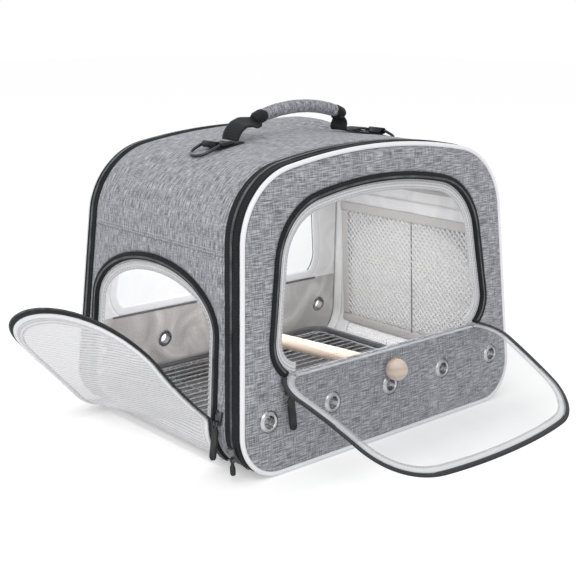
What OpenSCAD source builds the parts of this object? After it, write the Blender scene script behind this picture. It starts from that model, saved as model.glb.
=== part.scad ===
// Soft-sided travel carrier for a bird: a padded fabric shell whose front and back
// panels are zipped in all round, a clear window flap in front, a mesh door on the
// left, a wooden perch, and a steel tray with a wire grate on the floor.
// Millimetres. The origin is the middle of the underside. X runs along the width,
// the front panel faces -Y, and +Z is up.

/* [Shell] */
// Width of the body at its base
body_w = 406; // [380:2:440]
// Depth of the body at its base
body_d = 300; // [280:2:330]
// Height of the body at its crown, without the handle
body_h = 305; // [290:1:325]
// Thickness of the padded side, top and bottom walls
wall_t = 5; // [4:0.5:6]
// Inward lean of the side walls, in degrees
side_lean = 3.8; // [3:0.2:5]
// Inward lean of the front and back panels, in degrees
end_lean = 4.6; // [3.6:0.2:5.4]
// Radius of the lower side corners
foot_r = 45; // [42:1:50]
// Radius of the shoulders
shoulder_r = 77; // [68:1:84]
// Rise of the crown over the full width of the roof
crown_rise = 25; // [20:1:30]
// Height of the seam between each side wall and the roof
side_seam_z = 210; // [204:1:216]
// Height of the seam between each side wall and the bottom
bottom_seam_z = 6.5; // [6.2:0.1:7.5]

/* [Zip bands and piping] */
// Diameter of the white piping round the front and back panels
piping_d = 5; // [4:0.5:6]
// Width of one tape of the zip that holds the front panel
front_tape_w = 10.5; // [9:0.5:12]
// Width of one tape of the zip that holds the back panel
back_tape_w = 7; // [6:0.5:7.5]
// Thickness of all zip tapes
tape_t = 1.2; // [1:0.1:1.5]
// Width of the zip coils
coil_w = 3; // [2.4:0.2:3.6]
// Height of the zip coils above their tapes
coil_h = 0.9; // [0.6:0.1:1.2]
// Height above the floor at which the panel zips begin and end
band_foot_z = 9; // [8:0.5:12]

/* [Front and back panels] */
// Thickness of the front and back panels
panel_t = 5; // [4:0.5:6]
// Width of the window at its base line, before its corners are rounded
window_w = 335; // [320:1:345]
// Height of the panel above the window's top edge, in the middle
window_top_gap = 29; // [24:1:44]
// Height of the window's base line up the panel
window_base_v = 86; // [84:1:90]
// Inward lean of the window's sides, in degrees
window_lean = 8.5; // [7:0.5:10]
// Radius of the window's lower corners
window_foot_r = 40; // [34:1:44]
// Radius of the window's upper corners
window_shoulder_r = 74; // [66:1:80]
// Rise of the window's top edge
window_rise = 22; // [16:1:26]
// Height of the flap's hinge line above the window's base line
hinge_rise = 10; // [8:1:12]
// Width of the black bindings round the windows and the door
binding_w = 8; // [7:0.5:9]
// Width of the white stitched bands inside those bindings
inner_band_w = 7; // [5:0.5:8]
// Height of the hem along the top of the front strip
hem_h = 12; // [9:1:15]
// Thickness of the hem
hem_t = 0.8; // [0.6:0.1:1]

/* [Eyelets] */
// Number of eyelets in each strip
eyelet_count = 5; // [3:2:5]
// Distance between eyelets
eyelet_pitch = 83; // [78:0.5:84]
// Height of the eyelets up the panel
eyelet_v = 56; // [52:0.5:58]
// Outer diameter of an eyelet's flange
eyelet_d = 22; // [20:0.5:24]
// Clear diameter of an eyelet
eyelet_bore_d = 12; // [10:0.5:13]

/* [Front flap] */
// Angle by which the clear flap hangs open, from closed, in degrees
flap_open = 112; // [100:1:117]
// Thickness of the clear sheets
pane_t = 1; // [0.8:0.1:1.2]
// Width of the white binding that edges the clear flap
flap_edge_w = 7; // [6:0.5:8]
// Clearance between each closed flap and the frame it closes against
flap_gap = 0.3; // [0.2:0.1:0.5]
// Width by which the clear flap reaches beyond the window's outer edge
flap_over = 1; // [0:0.5:2]

/* [Side door] */
// Middle of the door along the depth
door_y = 6; // [4:1:8]
// Half width of the door opening at its springing
door_half_w = 110; // [102:1:111]
// Extra half width of the door opening at its sill
door_flare = 4; // [2:0.5:5]
// Height of the sill of the door opening
door_sill_z = 10; // [9.5:0.5:12]
// Height at which the arch of the door springs
door_spring_z = 132; // [122:1:134]
// Rise of the door's arch
door_rise = 63; // [56:1:66]
// Angle by which the mesh door stands open, from closed, in degrees
door_open = 36; // [20:1:50]
// Thickness of the mesh sheets
mesh_t = 1; // [0.8:0.1:1.2]
// Width of the white piping that edges the mesh door
door_piping_w = 4; // [3:0.5:5]

/* [Mesh pocket] */
// Lower edge of the mesh pocket on the right wall
pocket_low_z = 33; // [32:1:36]
// Upper edge of the mesh pocket
pocket_high_z = 196; // [184:1:198]
// Length of the pocket along the depth
pocket_l = 236; // [220:2:238]
// Width of the pocket's binding tape
pocket_tape_w = 12; // [10:1:14]
// Depth of the pocket, from the wall to the inside of its net
pocket_depth = 3; // [2.5:0.5:4]
// Number of net cells along the pocket
net_columns = 18; // [12:1:19]
// Number of net cells up the pocket
net_rows = 14; // [9:1:15]
// Width of the net's threads
net_thread = 1.8; // [1.4:0.2:2.4]

/* [Perch] */
// Diameter of the wooden perch
perch_d = 16; // [14:1:18]
// Height up the front panel at which the perch is held
perch_front_v = 74; // [72:1:75]
// Diameter of the round wooden knobs
knob_d = 23; // [20:1:24]
// Diameter of the knobs' studs
stud_d = 6; // [5:0.5:7]
// Depth to which a stud goes into the perch
stud_grip = 18; // [14:1:24]
// Radial running clearance of the studs and of the pulls
run_gap = 0.1; // [0.05:0.01:0.1]

/* [Tray and grate] */
// Thickness of the stiff floor board
board_t = 3; // [2:0.5:4]
// Length of the tray along the width of the body
tray_w = 322; // [300:2:326]
// Width of the tray along the depth of the body
tray_d = 266; // [250:2:270]
// Height of the tray
tray_h = 20; // [16:1:22]
// Corner radius of the tray
tray_r = 18; // [12:1:24]
// Thickness of the tray's steel
tray_t = 1.2; // [1:0.1:1.5]
// Width of the tray's turned rim
rim_w = 4; // [3:0.5:5]
// Diameter of the grate's frame wire
frame_wire_d = 4; // [3.5:0.5:5]
// Diameter of the grate's cross wires
grate_wire_d = 2.4; // [2:0.2:3]
// Distance between the grate's wires
grate_pitch = 12; // [10:0.5:15]
// Height of the grate's frame above the tray's bottom
grate_h = 13; // [11:1:14]
// Clearance between the grate and the tray's wall
grate_gap = 2.5; // [2:0.5:4]

/* [Handle and rings] */
// Length of the padded grip
grip_l = 110; // [96:2:120]
// Diameter of the padded grip
grip_d = 15; // [13:1:17]
// Height of the middle of the grip above the crown
grip_lift = 28; // [26:1:34]
// Rise of the grip's own curve
grip_rise = 8; // [5:0.5:10]
// Length of the webbing cap on each end of the grip
cap_l = 11; // [8:1:14]
// Width of the webbing
webbing_w = 25; // [22:1:28]
// Thickness of the webbing
webbing_t = 2; // [1.6:0.1:2.4]
// Distance from the middle at which the handle's straps meet the roof
strap_foot_x = 94; // [88:1:98]
// Distance from the middle of the D-rings' bars
ring_x = 121; // [118:1:124]
// Wire diameter of the D-rings
ring_wire_d = 3.2; // [2.8:0.2:3.6]
// Clear width of the D-rings
ring_in_w = 24; // [20:1:25]
// Straight part of a D-ring's legs
ring_leg = 10; // [6:1:11]

/* [Zip sliders] */
// Width of a slider's body
slider_w = 9; // [8:0.5:10]
// Length of a slider's body
slider_l = 13; // [11:0.5:15]
// Thickness of a slider's body
slider_t = 2.4; // [2:0.2:3]
// Length of the long pulls on the window flap and the door
long_pull_l = 36; // [30:1:38]
// Length of the short pulls on the panel zips
short_pull_l = 15; // [12:1:18]
// Width of the long pulls
long_pull_w = 8; // [7:0.5:9]
// Width of the short pulls
short_pull_w = 6; // [5:0.5:7]
// Thickness of the pulls
pull_t = 2.2; // [1.8:0.1:2.4]
// Height of the door's slider above the sill
door_slider_rise = 48; // [44:1:60]

/* [Hidden] */
$fn = 32;
// Clearance between pieces that are sewn or seated on each other
seat = 0.05;
// Steps in each corner arc, and in each half of a crown
corner_steps = 10;
crown_steps = 5;
// Longer than any cut needs to be
far = 3 * body_w;

window_h = body_h - window_base_v - window_top_gap;
window_hinge_v = window_base_v + hinge_rise;
// Depth of the step in the walls that holds the zip bands
band_step = tape_t + seat;
// Where the stud of a knob, or the dowel, is found at each end
perch_front = [0, -body_d / 2 + perch_front_v * sin(end_lean), perch_front_v * cos(end_lean)];
perch_back = [0, body_d / 2 - eyelet_v * sin(end_lean), eyelet_v * cos(end_lean)];
perch_slope = atan2(perch_back[2] - perch_front[2], perch_back[1] - perch_front[1]);
perch_span = norm(perch_back - perch_front);
floor_z = wall_t + seat;
tray_z = floor_z + board_t + seat;
grate_z = tray_z + tray_t + grate_h;

// ---------- outlines ----------

// Points of an arc about c
function arc(c, r, a0, a1, n) =
    [for (i = [0:n]) let (a = a0 + (a1 - a0) * i / n) c + r * [cos(a), sin(a)]];

// Radius of a crown that rises by rise over the roof's virtual width
function crown_r(w, h, lean, rise) =
    let (half = w / 2 - h * tan(lean)) (half * half + rise * rise) / (2 * rise);

// Centre of a shoulder arc that touches both the leaning side and the crown
function shoulder_centre(w, h, lean, rs, rise) =
    let (rc = crown_r(w, h, lean, rise), t = tan(lean), cz = h - rc,
         a = w / 2 - rs / cos(lean), rr = rc - rs,
         b = a * t + cz, c = a * a + cz * cz - rr * rr,
         z = (b + sqrt(b * b - (1 + t * t) * c)) / (1 + t * t))
    [a - z * t, z];

// Right half of a crowned, leaning outline, from its foot to its apex, drawn in by inset
function half_outline(w, h, lean, rf, rs, rise, inset) =
    let (rc = crown_r(w, h, lean, rise),
         foot = [w / 2 - rf * tan(lean) - rf / cos(lean), rf],
         top = shoulder_centre(w, h, lean, rs, rise),
         turn = atan2(top[1] - (h - rc), top[0]))
    concat(
        arc(foot, rf - inset, -90, lean, corner_steps),
        arc(top, rs - inset, lean, turn, corner_steps),
        [for (i = [1:crown_steps]) let (a = turn + (90 - turn) * i / crown_steps)
            [0, h - rc] + (rc - inset) * [cos(a), sin(a)]]
    );

function mirrored(p) =
    let (n = len(p)) concat(p, [for (i = [2:n]) [-p[n - i][0], p[n - i][1]]]);

function body_outline(inset) =
    mirrored(half_outline(body_w, body_h, side_lean, foot_r, shoulder_r, crown_rise, inset));

function window_outline(inset) =
    [for (p = mirrored(half_outline(window_w, window_h, window_lean, window_foot_r,
                                    window_shoulder_r, window_rise, inset)))
        p + [0, window_base_v]];

// Arch of the side door as [y, z], drawn in by inset, with its legs run down to z = low
function door_outline(inset, low = door_sill_z) =
    concat(
        [[door_y + door_half_w + door_flare - inset, low]],
        [for (i = [0:2 * corner_steps]) let (a = 180 * i / (2 * corner_steps))
            [door_y + (door_half_w - inset) * cos(a), door_spring_z + (door_rise - inset) * sin(a)]],
        [[door_y - door_half_w - door_flare + inset, low]]
    );

// How far the body reaches to the side at height z, drawn in by inset
function side_x(z, inset = 0) =
    let (cx = body_w / 2 - foot_r * tan(side_lean) - foot_r / cos(side_lean))
    z < foot_r + (foot_r - inset) * sin(side_lean)
        ? cx + sqrt(pow(foot_r - inset, 2) - pow(foot_r - z, 2))
        : body_w / 2 - z * tan(side_lean) - inset / cos(side_lean);

// Height of the roof at x, drawn in by inset, for places on the crown or the shoulder
function roof_z(x, inset = 0) =
    let (rc = crown_r(body_w, body_h, side_lean, crown_rise),
         top = shoulder_centre(body_w, body_h, side_lean, shoulder_r, crown_rise),
         turn = atan2(top[1] - (body_h - rc), top[0]))
    abs(x) < (rc - inset) * cos(turn)
        ? body_h - rc + sqrt(pow(rc - inset, 2) - x * x)
        : top[1] + sqrt(pow(shoulder_r - inset, 2) - pow(abs(x) - top[0], 2));

function rounded_rect(w, d, r) =
    concat(
        arc([w / 2 - r, -d / 2 + r], r, -90, 0, corner_steps),
        arc([w / 2 - r, d / 2 - r], r, 0, 90, corner_steps),
        arc([-w / 2 + r, d / 2 - r], r, 90, 180, corner_steps),
        arc([-w / 2 + r, -d / 2 + r], r, 180, 270, corner_steps)
    );

// ---------- places ----------

// Frame of the front panel: x to the right, y inwards from its outer face, z up the panel
module at_front() translate([0, -body_d / 2, 0]) rotate([-end_lean, 0, 0]) children();
module at_back() mirror([0, 1, 0]) at_front() children();

// The body's outline run along the whole depth
module prism(inset) translate([0, far / 2, 0]) rotate([90, 0, 0]) linear_extrude(far)
    polygon(body_outline(inset));

// A layer parallel to the front panel, from depth w0 to depth w1
module front_layer(w0, w1) at_front() translate([-far / 2, w0, -far / 2]) cube([far, w1 - w0, far]);

// What lies between the two end panels, each moved in by w
module between_ends(w) intersection() {
    front_layer(w, far);
    mirror([0, 1, 0]) front_layer(w, far);
}

// A ring of the body's wall between two insets
module wall_ring(outer, inner) difference() {
    prism(outer);
    prism(inner);
}

// What lies between two heights
module level(z0, z1) translate([-far / 2, -far / 2, z0]) cube([far, far, z1 - z0]);

// What lies to the right of the middle
module right_half() translate([0, -far / 2, -far / 2]) cube(far);
module left_half() mirror([1, 0, 0]) right_half();

// A flat shape [x, v] on the front panel, from depth w0 to depth w1
module on_front(w0, w1) at_front() translate([0, w1, 0]) rotate([90, 0, 0])
    linear_extrude(w1 - w0) children();

// A flat shape [y, z] run outwards through the side walls
module through_sides() translate([-far / 2, 0, 0]) rotate([90, 0, 90]) linear_extrude(far) children();

// The window's shape above its hinge line
module window_shape(inset) difference() {
    polygon(window_outline(inset));
    translate([-far / 2, window_hinge_v - far]) square(far);
}

// The clear flap's own frame, closed: as on the front panel, with its hinge at the origin
module flap_place() at_front() translate([0, -hem_t - flap_gap, window_hinge_v])
    rotate([flap_open, 0, 0]) children();

// The door's pieces are drawn closed, and stand open about the hinge at the sill
door_hinge = [-side_x(door_sill_z) - hem_t - flap_gap, 0, door_sill_z - 0.5];
module door_place() translate(door_hinge) rotate([0, -door_open, 0]) translate(-door_hinge)
    children();

// ---------- shell ----------

// Depth of a zip band whose tapes are w wide, with the piping in front of it
function band_depth(w) = piping_d + 2 * w;

module band_bed(w) intersection() {
    wall_ring(-wall_t, band_step);
    front_layer(0, band_depth(w) + seat);
    level(band_foot_z, far);
}

// The wall, with the steps that hold the two zip bands
module shell_wall() difference() {
    intersection() {
        wall_ring(0, wall_t);
        between_ends(panel_t + seat);
    }
    band_bed(front_tape_w);
    mirror([0, 1, 0]) band_bed(back_tape_w);
}

module bottom_panel() color("#3a3c40") intersection() {
    shell_wall();
    level(-far, bottom_seam_z);
}

module side_panel(cut_low) difference() {
    intersection() {
        shell_wall();
        level(bottom_seam_z + seat, side_seam_z);
        left_half();
    }
    through_sides() polygon(door_outline(0, cut_low));
}

module left_side_panel() color("#8f9096") side_panel(door_sill_z);

module right_side_panel() color("#8f9096") mirror([1, 0, 0]) side_panel(door_sill_z);

module top_panel() color("#96979c") intersection() {
    shell_wall();
    level(side_seam_z + seat, far);
}

// The stiff board covers the flat of the bottom, between the curves of its corners
board_w = 2 * (body_w / 2 - foot_r * tan(side_lean) - foot_r / cos(side_lean));
module base_board() color("#55575c") translate([0, 0, floor_z]) linear_extrude(board_t)
    polygon(rounded_rect(board_w, tray_d, tray_r));

// ---------- zip bands ----------

// One band of tape round the sides and the top, between two depths
module band(w0, w1, outer, inner) intersection() {
    wall_ring(outer, inner);
    front_layer(w0, w1);
    level(band_foot_z + seat, far);
}

module panel_tape(w) color("#2b2d30") band(piping_d + seat, piping_d + w - seat, 0, tape_t);
module shell_tape(w) color("#2b2d30") band(piping_d + w + seat, band_depth(w), 0, tape_t);
module zip_coil(w) color("#1c1d1f")
    band(piping_d + w - coil_w / 2, piping_d + w + coil_w / 2, -coil_h, -seat);

module front_panel_tape() panel_tape(front_tape_w);
module front_shell_tape() shell_tape(front_tape_w);
module front_zip_coil() zip_coil(front_tape_w);
module back_panel_tape() mirror([0, 1, 0]) panel_tape(back_tape_w);
module back_shell_tape() mirror([0, 1, 0]) shell_tape(back_tape_w);
module back_zip_coil() mirror([0, 1, 0]) zip_coil(back_tape_w);

// ---------- front and back panels ----------

// A round cord along the body's outline, in the plane of the front panel
module piping() {
    sides = 8;
    r = piping_d / 2 - seat;
    path = body_outline(piping_d / 2);
    drawn_in = body_outline(piping_d / 2 + 1);
    count = len(path);
    outwards = [0, -cos(end_lean), sin(end_lean)];
    upwards = [0, sin(end_lean), cos(end_lean)];
    points = [for (i = [0:count - 1]) for (j = [0:sides - 1])
        let (a = 360 * (j + 0.5) / sides,
             n = path[i] - drawn_in[i],
             middle = [path[i][0],
                       -body_d / 2 + path[i][1] * tan(end_lean) + piping_d / 2 / cos(end_lean),
                       path[i][1]])
        middle + r * (cos(a) * (n[0] * [1, 0, 0] + n[1] * upwards) + sin(a) * outwards)];
    faces = [for (i = [0:count - 1]) for (j = [0:sides - 1])
        let (i1 = (i + 1) % count, j1 = (j + 1) % sides)
        [i * sides + j, i1 * sides + j, i1 * sides + j1, i * sides + j1]];
    color("#f2f2f6") polyhedron(points, faces);
}

module eyelet_row(w0, w1, d) for (i = [0:eyelet_count - 1])
    at_front() translate([(i - (eyelet_count - 1) / 2) * eyelet_pitch, w0, eyelet_v])
        rotate([-90, 0, 0]) cylinder(h = w1 - w0, d = d, $fn = 48);

// The barrel and the two rolled flanges of each eyelet
barrel_d = eyelet_bore_d + 2;
eyelet_rise = 2;
eyelet_inner_rise = 1;
module eyelets() color("#c9c6c2") for (i = [0:eyelet_count - 1])
    at_front() translate([(i - (eyelet_count - 1) / 2) * eyelet_pitch, 0, eyelet_v])
        rotate([-90, 0, 0]) rotate_extrude($fn = 48) polygon([
            [eyelet_bore_d / 2, -eyelet_rise + 0.8], [eyelet_bore_d / 2 + 0.6, -eyelet_rise + 0.2],
            [eyelet_bore_d / 2 + 2, -eyelet_rise],
            [eyelet_d / 2 - 1, -eyelet_rise + 0.8], [eyelet_d / 2, -seat], [barrel_d / 2, -seat],
            [barrel_d / 2, panel_t + seat], [eyelet_d / 2 - 1.5, panel_t + seat],
            [eyelet_d / 2 - 2, panel_t + eyelet_inner_rise], [eyelet_bore_d / 2, panel_t + eyelet_inner_rise]
        ]);

module end_panel() difference() {
    intersection() {
        prism(piping_d + seat);
        front_layer(0, panel_t);
    }
    on_front(-far, far) window_shape(0);
    eyelet_row(-wall_t, 2 * wall_t, barrel_d + 2 * seat);
}

module front_panel() color("#8b8c93") difference() {
    end_panel();
    translate(perch_front) rotate([perch_slope - 90, 0, 0])
        cylinder(h = 6 * panel_t, d = stud_d + 1, center = true);
}
module back_panel() color("#8b8c93") mirror([0, 1, 0]) end_panel();

module front_piping() piping();
module back_piping() mirror([0, 1, 0]) piping();
module front_eyelets() eyelets();
module back_eyelets() mirror([0, 1, 0]) eyelets();

// The black frame half of the window's zip
module window_binding() color("#2b2d30") on_front(-hem_t, panel_t - tape_t - 2 * seat) difference() {
    window_shape(seat);
    polygon(window_outline(binding_w));
}

module front_window_binding() window_binding();

module front_inner_band() color("#ececf0") on_front(panel_t - tape_t - seat, panel_t) difference() {
    window_shape(seat);
    polygon(window_outline(binding_w + inner_band_w));
}

module front_hem() color("#85868d") on_front(-hem_t, -seat)
    translate([-window_hem_w / 2, window_hinge_v - hem_h]) square([window_hem_w, hem_h]);
// The hem is as long as the window is wide at its hinge line
window_hem_w = 2 * (window_w / 2 - window_foot_r * tan(window_lean) - window_foot_r / cos(window_lean)
    + sqrt(pow(window_foot_r, 2) - pow(window_foot_r - hinge_rise, 2)));

// What is left of the window inside its bindings, all round
module pane_shape(inset) difference() {
    polygon(window_outline(binding_w + inset));
    translate([-far / 2, window_hinge_v + binding_w + inset - far]) square(far);
}

module back_window_binding() color("#2b2d30") mirror([0, 1, 0])
    on_front(-hem_t, panel_t) difference() {
        window_shape(seat);
        pane_shape(0);
    }

module back_window() color("#dfe6ea", 0.4) mirror([0, 1, 0])
    on_front(panel_t / 2 - pane_t / 2, panel_t / 2 + pane_t / 2) pane_shape(seat);

// ---------- side openings ----------

module side_ring(outer, inner, inset0, inset1, low) difference() {
    intersection() {
        wall_ring(outer, inner);
        left_half();
        through_sides() polygon(door_outline(inset0, low));
    }
    through_sides() polygon(door_outline(inset1, low - 1));
}

module door_frame_binding() color("#2b2d30")
    side_ring(-hem_t, wall_t - tape_t - seat, seat, binding_w, door_sill_z + seat);

module door_inner_band() color("#ececf0")
    side_ring(wall_t - tape_t, wall_t, seat, binding_w + inner_band_w, door_sill_z + seat);

module right_window_binding() color("#2b2d30") mirror([1, 0, 0]) difference() {
    intersection() {
        wall_ring(-hem_t, wall_t);
        left_half();
        through_sides() polygon(door_outline(seat, door_sill_z + seat));
    }
    through_sides() polygon(door_outline(binding_w, door_sill_z + binding_w));
}

module right_window_mesh() color("#e4e4e2") mirror([1, 0, 0]) intersection() {
    wall_ring(wall_t / 2, wall_t / 2 + mesh_t);
    left_half();
    through_sides() polygon(door_outline(binding_w + seat, door_sill_z + binding_w + seat));
}

// ---------- mesh pocket ----------

// Frame of the pocket's plane: x along the depth, y up the right wall, z towards the cabin
module at_pocket() translate([side_x(foot_r + foot_r * sin(side_lean), wall_t + pocket_depth), 0,
                              foot_r + foot_r * sin(side_lean)])
    rotate([0, -side_lean, 0]) rotate([90, 0, -90])
        translate([0, -(foot_r + foot_r * sin(side_lean)) / cos(side_lean)]) children();

pocket_low_v = pocket_low_z / cos(side_lean);
pocket_high_v = pocket_high_z / cos(side_lean);
net_l = pocket_l - 2 * pocket_tape_w;
net_h = pocket_high_v - pocket_low_v - 2 * pocket_tape_w;

// Diamond cells in staggered rows
module mesh_pocket() color("#dcdcda") at_pocket() linear_extrude(mesh_t) difference() {
    translate([-net_l / 2 + seat, pocket_low_v + pocket_tape_w + seat])
        square([net_l - 2 * seat, net_h - 2 * seat]);
    cell = [net_l / net_columns, net_h / (net_rows / 2 + 1)];
    for (r = [0:net_rows - 1]) for (c = [0:net_columns - 1 - r % 2])
        translate([-net_l / 2 + cell[0] * (c + 0.5 + 0.5 * (r % 2)),
                   pocket_low_v + pocket_tape_w + cell[1] * (r / 2 + 0.75)])
            polygon([[cell[0] / 2 - net_thread, 0], [0, cell[1] / 2 - net_thread],
                     [-cell[0] / 2 + net_thread, 0], [0, -cell[1] / 2 + net_thread]]);
}

// The binding reaches back to the wall, also where the wall turns into the bottom
module pocket_binding() color("#a9a5a3") intersection() {
    at_pocket() translate([0, 0, -2 * pocket_depth]) linear_extrude(2 * pocket_depth + mesh_t)
        difference() {
            translate([-pocket_l / 2, pocket_low_v]) square([pocket_l, pocket_high_v - pocket_low_v]);
            translate([-net_l / 2, pocket_low_v + pocket_tape_w]) square([net_l, net_h]);
        }
    prism(wall_t + seat);
}

// ---------- tray and grate ----------

module tray() color("#b9bbbd") translate([0, 0, tray_z]) {
    difference() {
        union() {
            linear_extrude(tray_h) polygon(rounded_rect(tray_w, tray_d, tray_r));
            translate([0, 0, tray_h - tray_t]) linear_extrude(tray_t)
                polygon(rounded_rect(tray_w + 2 * rim_w, tray_d + 2 * rim_w, tray_r + rim_w));
        }
        translate([0, 0, tray_t]) linear_extrude(tray_h)
            polygon(rounded_rect(tray_w - 2 * tray_t, tray_d - 2 * tray_t, tray_r - tray_t));
    }
}

grate_w = tray_w - 2 * tray_t - 2 * grate_gap - frame_wire_d;
grate_d = tray_d - 2 * tray_t - 2 * grate_gap - frame_wire_d;
module wire(a, b, d) {
    reach = b - a;
    translate(a) rotate([0, acos(reach[2] / norm(reach)), atan2(reach[1], reach[0])])
        cylinder(h = norm(reach), d = d, $fn = 24);
}

// The grate's corners, and how far its frame runs straight from the middle
grate_corner = tray_r - grate_gap - frame_wire_d / 2;
grate_straight = [grate_w / 2 - grate_corner, grate_d / 2 - grate_corner];
// The wires' middles lie this far above the frame's
wire_lift = 0.6;

// Frame of round wire with rounded corners
module grate_frame() color("#c4c6c8") translate([0, 0, grate_z]) {
    for (s = [-1, 1]) {
        wire([-grate_straight[0], s * grate_d / 2, 0], [grate_straight[0], s * grate_d / 2, 0],
             frame_wire_d);
        wire([s * grate_w / 2, -grate_straight[1], 0], [s * grate_w / 2, grate_straight[1], 0],
             frame_wire_d);
    }
    for (q = [0:3]) translate([q == 1 || q == 2 ? -grate_straight[0] : grate_straight[0],
                               q < 2 ? grate_straight[1] : -grate_straight[1], 0])
        rotate([0, 0, 90 * q]) rotate_extrude(angle = 90, $fn = 48)
            translate([grate_corner, 0]) circle(d = frame_wire_d, $fn = 24);
}

// Where a wire along the width meets the inside of the frame
function wire_end(y) =
    let (r = grate_corner - frame_wire_d / 2 - seat,
         past = max(0, abs(y) + grate_wire_d / 2 - grate_straight[1]))
    grate_straight[0] + sqrt(r * r - past * past);

// Wires along the width, butt welded to the frame, and three across under them
module grate_wires() color("#c4c6c8") translate([0, 0, grate_z + wire_lift]) {
    wires = floor((grate_d - 2 * frame_wire_d) / grate_pitch / 2);
    for (i = [-wires:wires]) let (end = wire_end(i * grate_pitch))
        wire([-end, i * grate_pitch, 0], [end, i * grate_pitch, 0], grate_wire_d);
    reach = grate_d / 2 - frame_wire_d / 2 - seat;
    for (x = [-1, 0, 1]) translate([x * grate_w / 3, 0, -grate_wire_d - seat])
        wire([0, -reach, 0], [0, reach, 0], grate_wire_d);
}

// Feet that stand on the tray, welded under the frame
module grate_feet() color("#c4c6c8") for (sx = [-1, 1]) for (sy = [-1, 1])
    wire([sx * grate_w / 4, sy * grate_d / 2, tray_z + tray_t + seat],
         [sx * grate_w / 4, sy * grate_d / 2, grate_z - frame_wire_d / 2 - seat], grate_wire_d);

// ---------- perch ----------

// Frame of the perch: z from the front panel's outer face to the back one's
module at_perch() translate(perch_front) rotate([perch_slope - 90, 0, 0]) children();

// Tilt of the perch against each panel's own square direction
front_tilt = end_lean + perch_slope;
back_tilt = end_lean - perch_slope;
// Where the dowel begins and ends, clear of the front panel and of the back eyelet
dowel_start = panel_t / cos(front_tilt) + perch_d / 2 * tan(front_tilt) + run_gap;
dowel_end = (panel_t + eyelet_inner_rise) / cos(back_tilt) + perch_d / 2 * tan(back_tilt) + run_gap;
// The knobs are flattened where they bear
knob_flat = 2;
knob_flat_r = sqrt(pow(knob_d / 2, 2) - pow(knob_d / 2 - knob_flat, 2));
front_knob_gap = knob_flat_r * tan(front_tilt) + run_gap;
back_knob_gap = eyelet_rise / cos(back_tilt) + knob_flat_r * tan(back_tilt) + run_gap;

module perch() color("#e3c3a6") at_perch() difference() {
    translate([0, 0, dowel_start])
        cylinder(h = perch_span - dowel_start - dowel_end, d = perch_d, $fn = 48);
    cylinder(h = dowel_start + stud_grip + 1, d = stud_d + 2 * run_gap);
    translate([0, 0, perch_span - dowel_end - stud_grip - 1])
        cylinder(h = dowel_end + stud_grip + 1, d = stud_d + 2 * run_gap);
}

// A round knob with its stud, standing off the panel's outer face by gap
module knob(gap, dowel_from) color("#e6c8ac") {
    difference() {
        translate([0, 0, -gap - knob_d / 2 + knob_flat]) sphere(d = knob_d, $fn = 48);
        translate([0, 0, knob_d / 2 - gap]) cube(knob_d, center = true);
    }
    translate([0, 0, -gap - knob_d / 2]) cylinder(h = gap + knob_d / 2 + dowel_from + stud_grip, d = stud_d);
}

module front_knob() at_perch() knob(front_knob_gap, dowel_start);
module back_knob() at_perch() translate([0, 0, perch_span]) rotate([180, 0, 0])
    knob(back_knob_gap, dowel_end);

// ---------- handle ----------

grip_r = (pow(grip_l / 2, 2) + pow(grip_rise, 2)) / (2 * grip_rise);
grip_z = body_h + grip_lift;
grip_half_turn = asin(grip_l / 2 / grip_r);
cap_turn = cap_l / grip_r * 180 / PI;
// The straps' folds clear the webbing under them, which rises towards the middle
fold_gap = 0.4;
hinge_z = roof_z(strap_foot_x - 4) + 2 * webbing_t + fold_gap;

// A stretch of the grip's arc from angle a0 to a1 off the top
module grip_arc(a0, a1, d) translate([0, 0, grip_z - grip_r]) rotate([90, 0, 0])
    rotate([0, 0, 90 - a1]) rotate_extrude(angle = a1 - a0, $fn = 180)
        translate([grip_r, 0]) circle(d = d, $fn = 32);

module handle_grip() color("#8f9096") grip_arc(-grip_half_turn, grip_half_turn, grip_d);

module handle_caps() color("#26282a") for (side = [0, 1]) mirror([side, 0, 0])
    grip_arc(grip_half_turn + 0.02, grip_half_turn + cap_turn, grip_d + 1);

// From the cap a strap narrows to the fold at which it is sewn to the roof
module handle_straps() color("#26282a") for (side = [0, 1]) mirror([side, 0, 0]) {
    a = grip_half_turn + cap_turn + 0.05;
    start = [grip_r * sin(a), grip_z - grip_r + grip_r * cos(a)];
    foot = [strap_foot_x, hinge_z];
    run = norm(foot - start);
    fold_r = webbing_t;
    translate([start[0], 0, start[1]]) rotate([0, atan2(start[1] - foot[1], foot[0] - start[0]), 0])
        translate([0, 0, -webbing_t / 2]) linear_extrude(webbing_t) polygon([
            [webbing_t / 2, -grip_d / 2], [run * 0.3, -webbing_w / 2 + 3], [run * 0.6, -webbing_w / 2 + 4.5],
            [run * 0.85, -2 * fold_r], [run - 0.5, -fold_r], [run - 0.5, fold_r], [run * 0.85, 2 * fold_r],
            [run * 0.6, webbing_w / 2 - 4.5], [run * 0.3, webbing_w / 2 - 3], [webbing_t / 2, grip_d / 2]
        ]);
    translate([foot[0] - 4, 0, foot[1]]) rotate([0, 90, 0]) cylinder(h = 9, r = fold_r);
}

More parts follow.
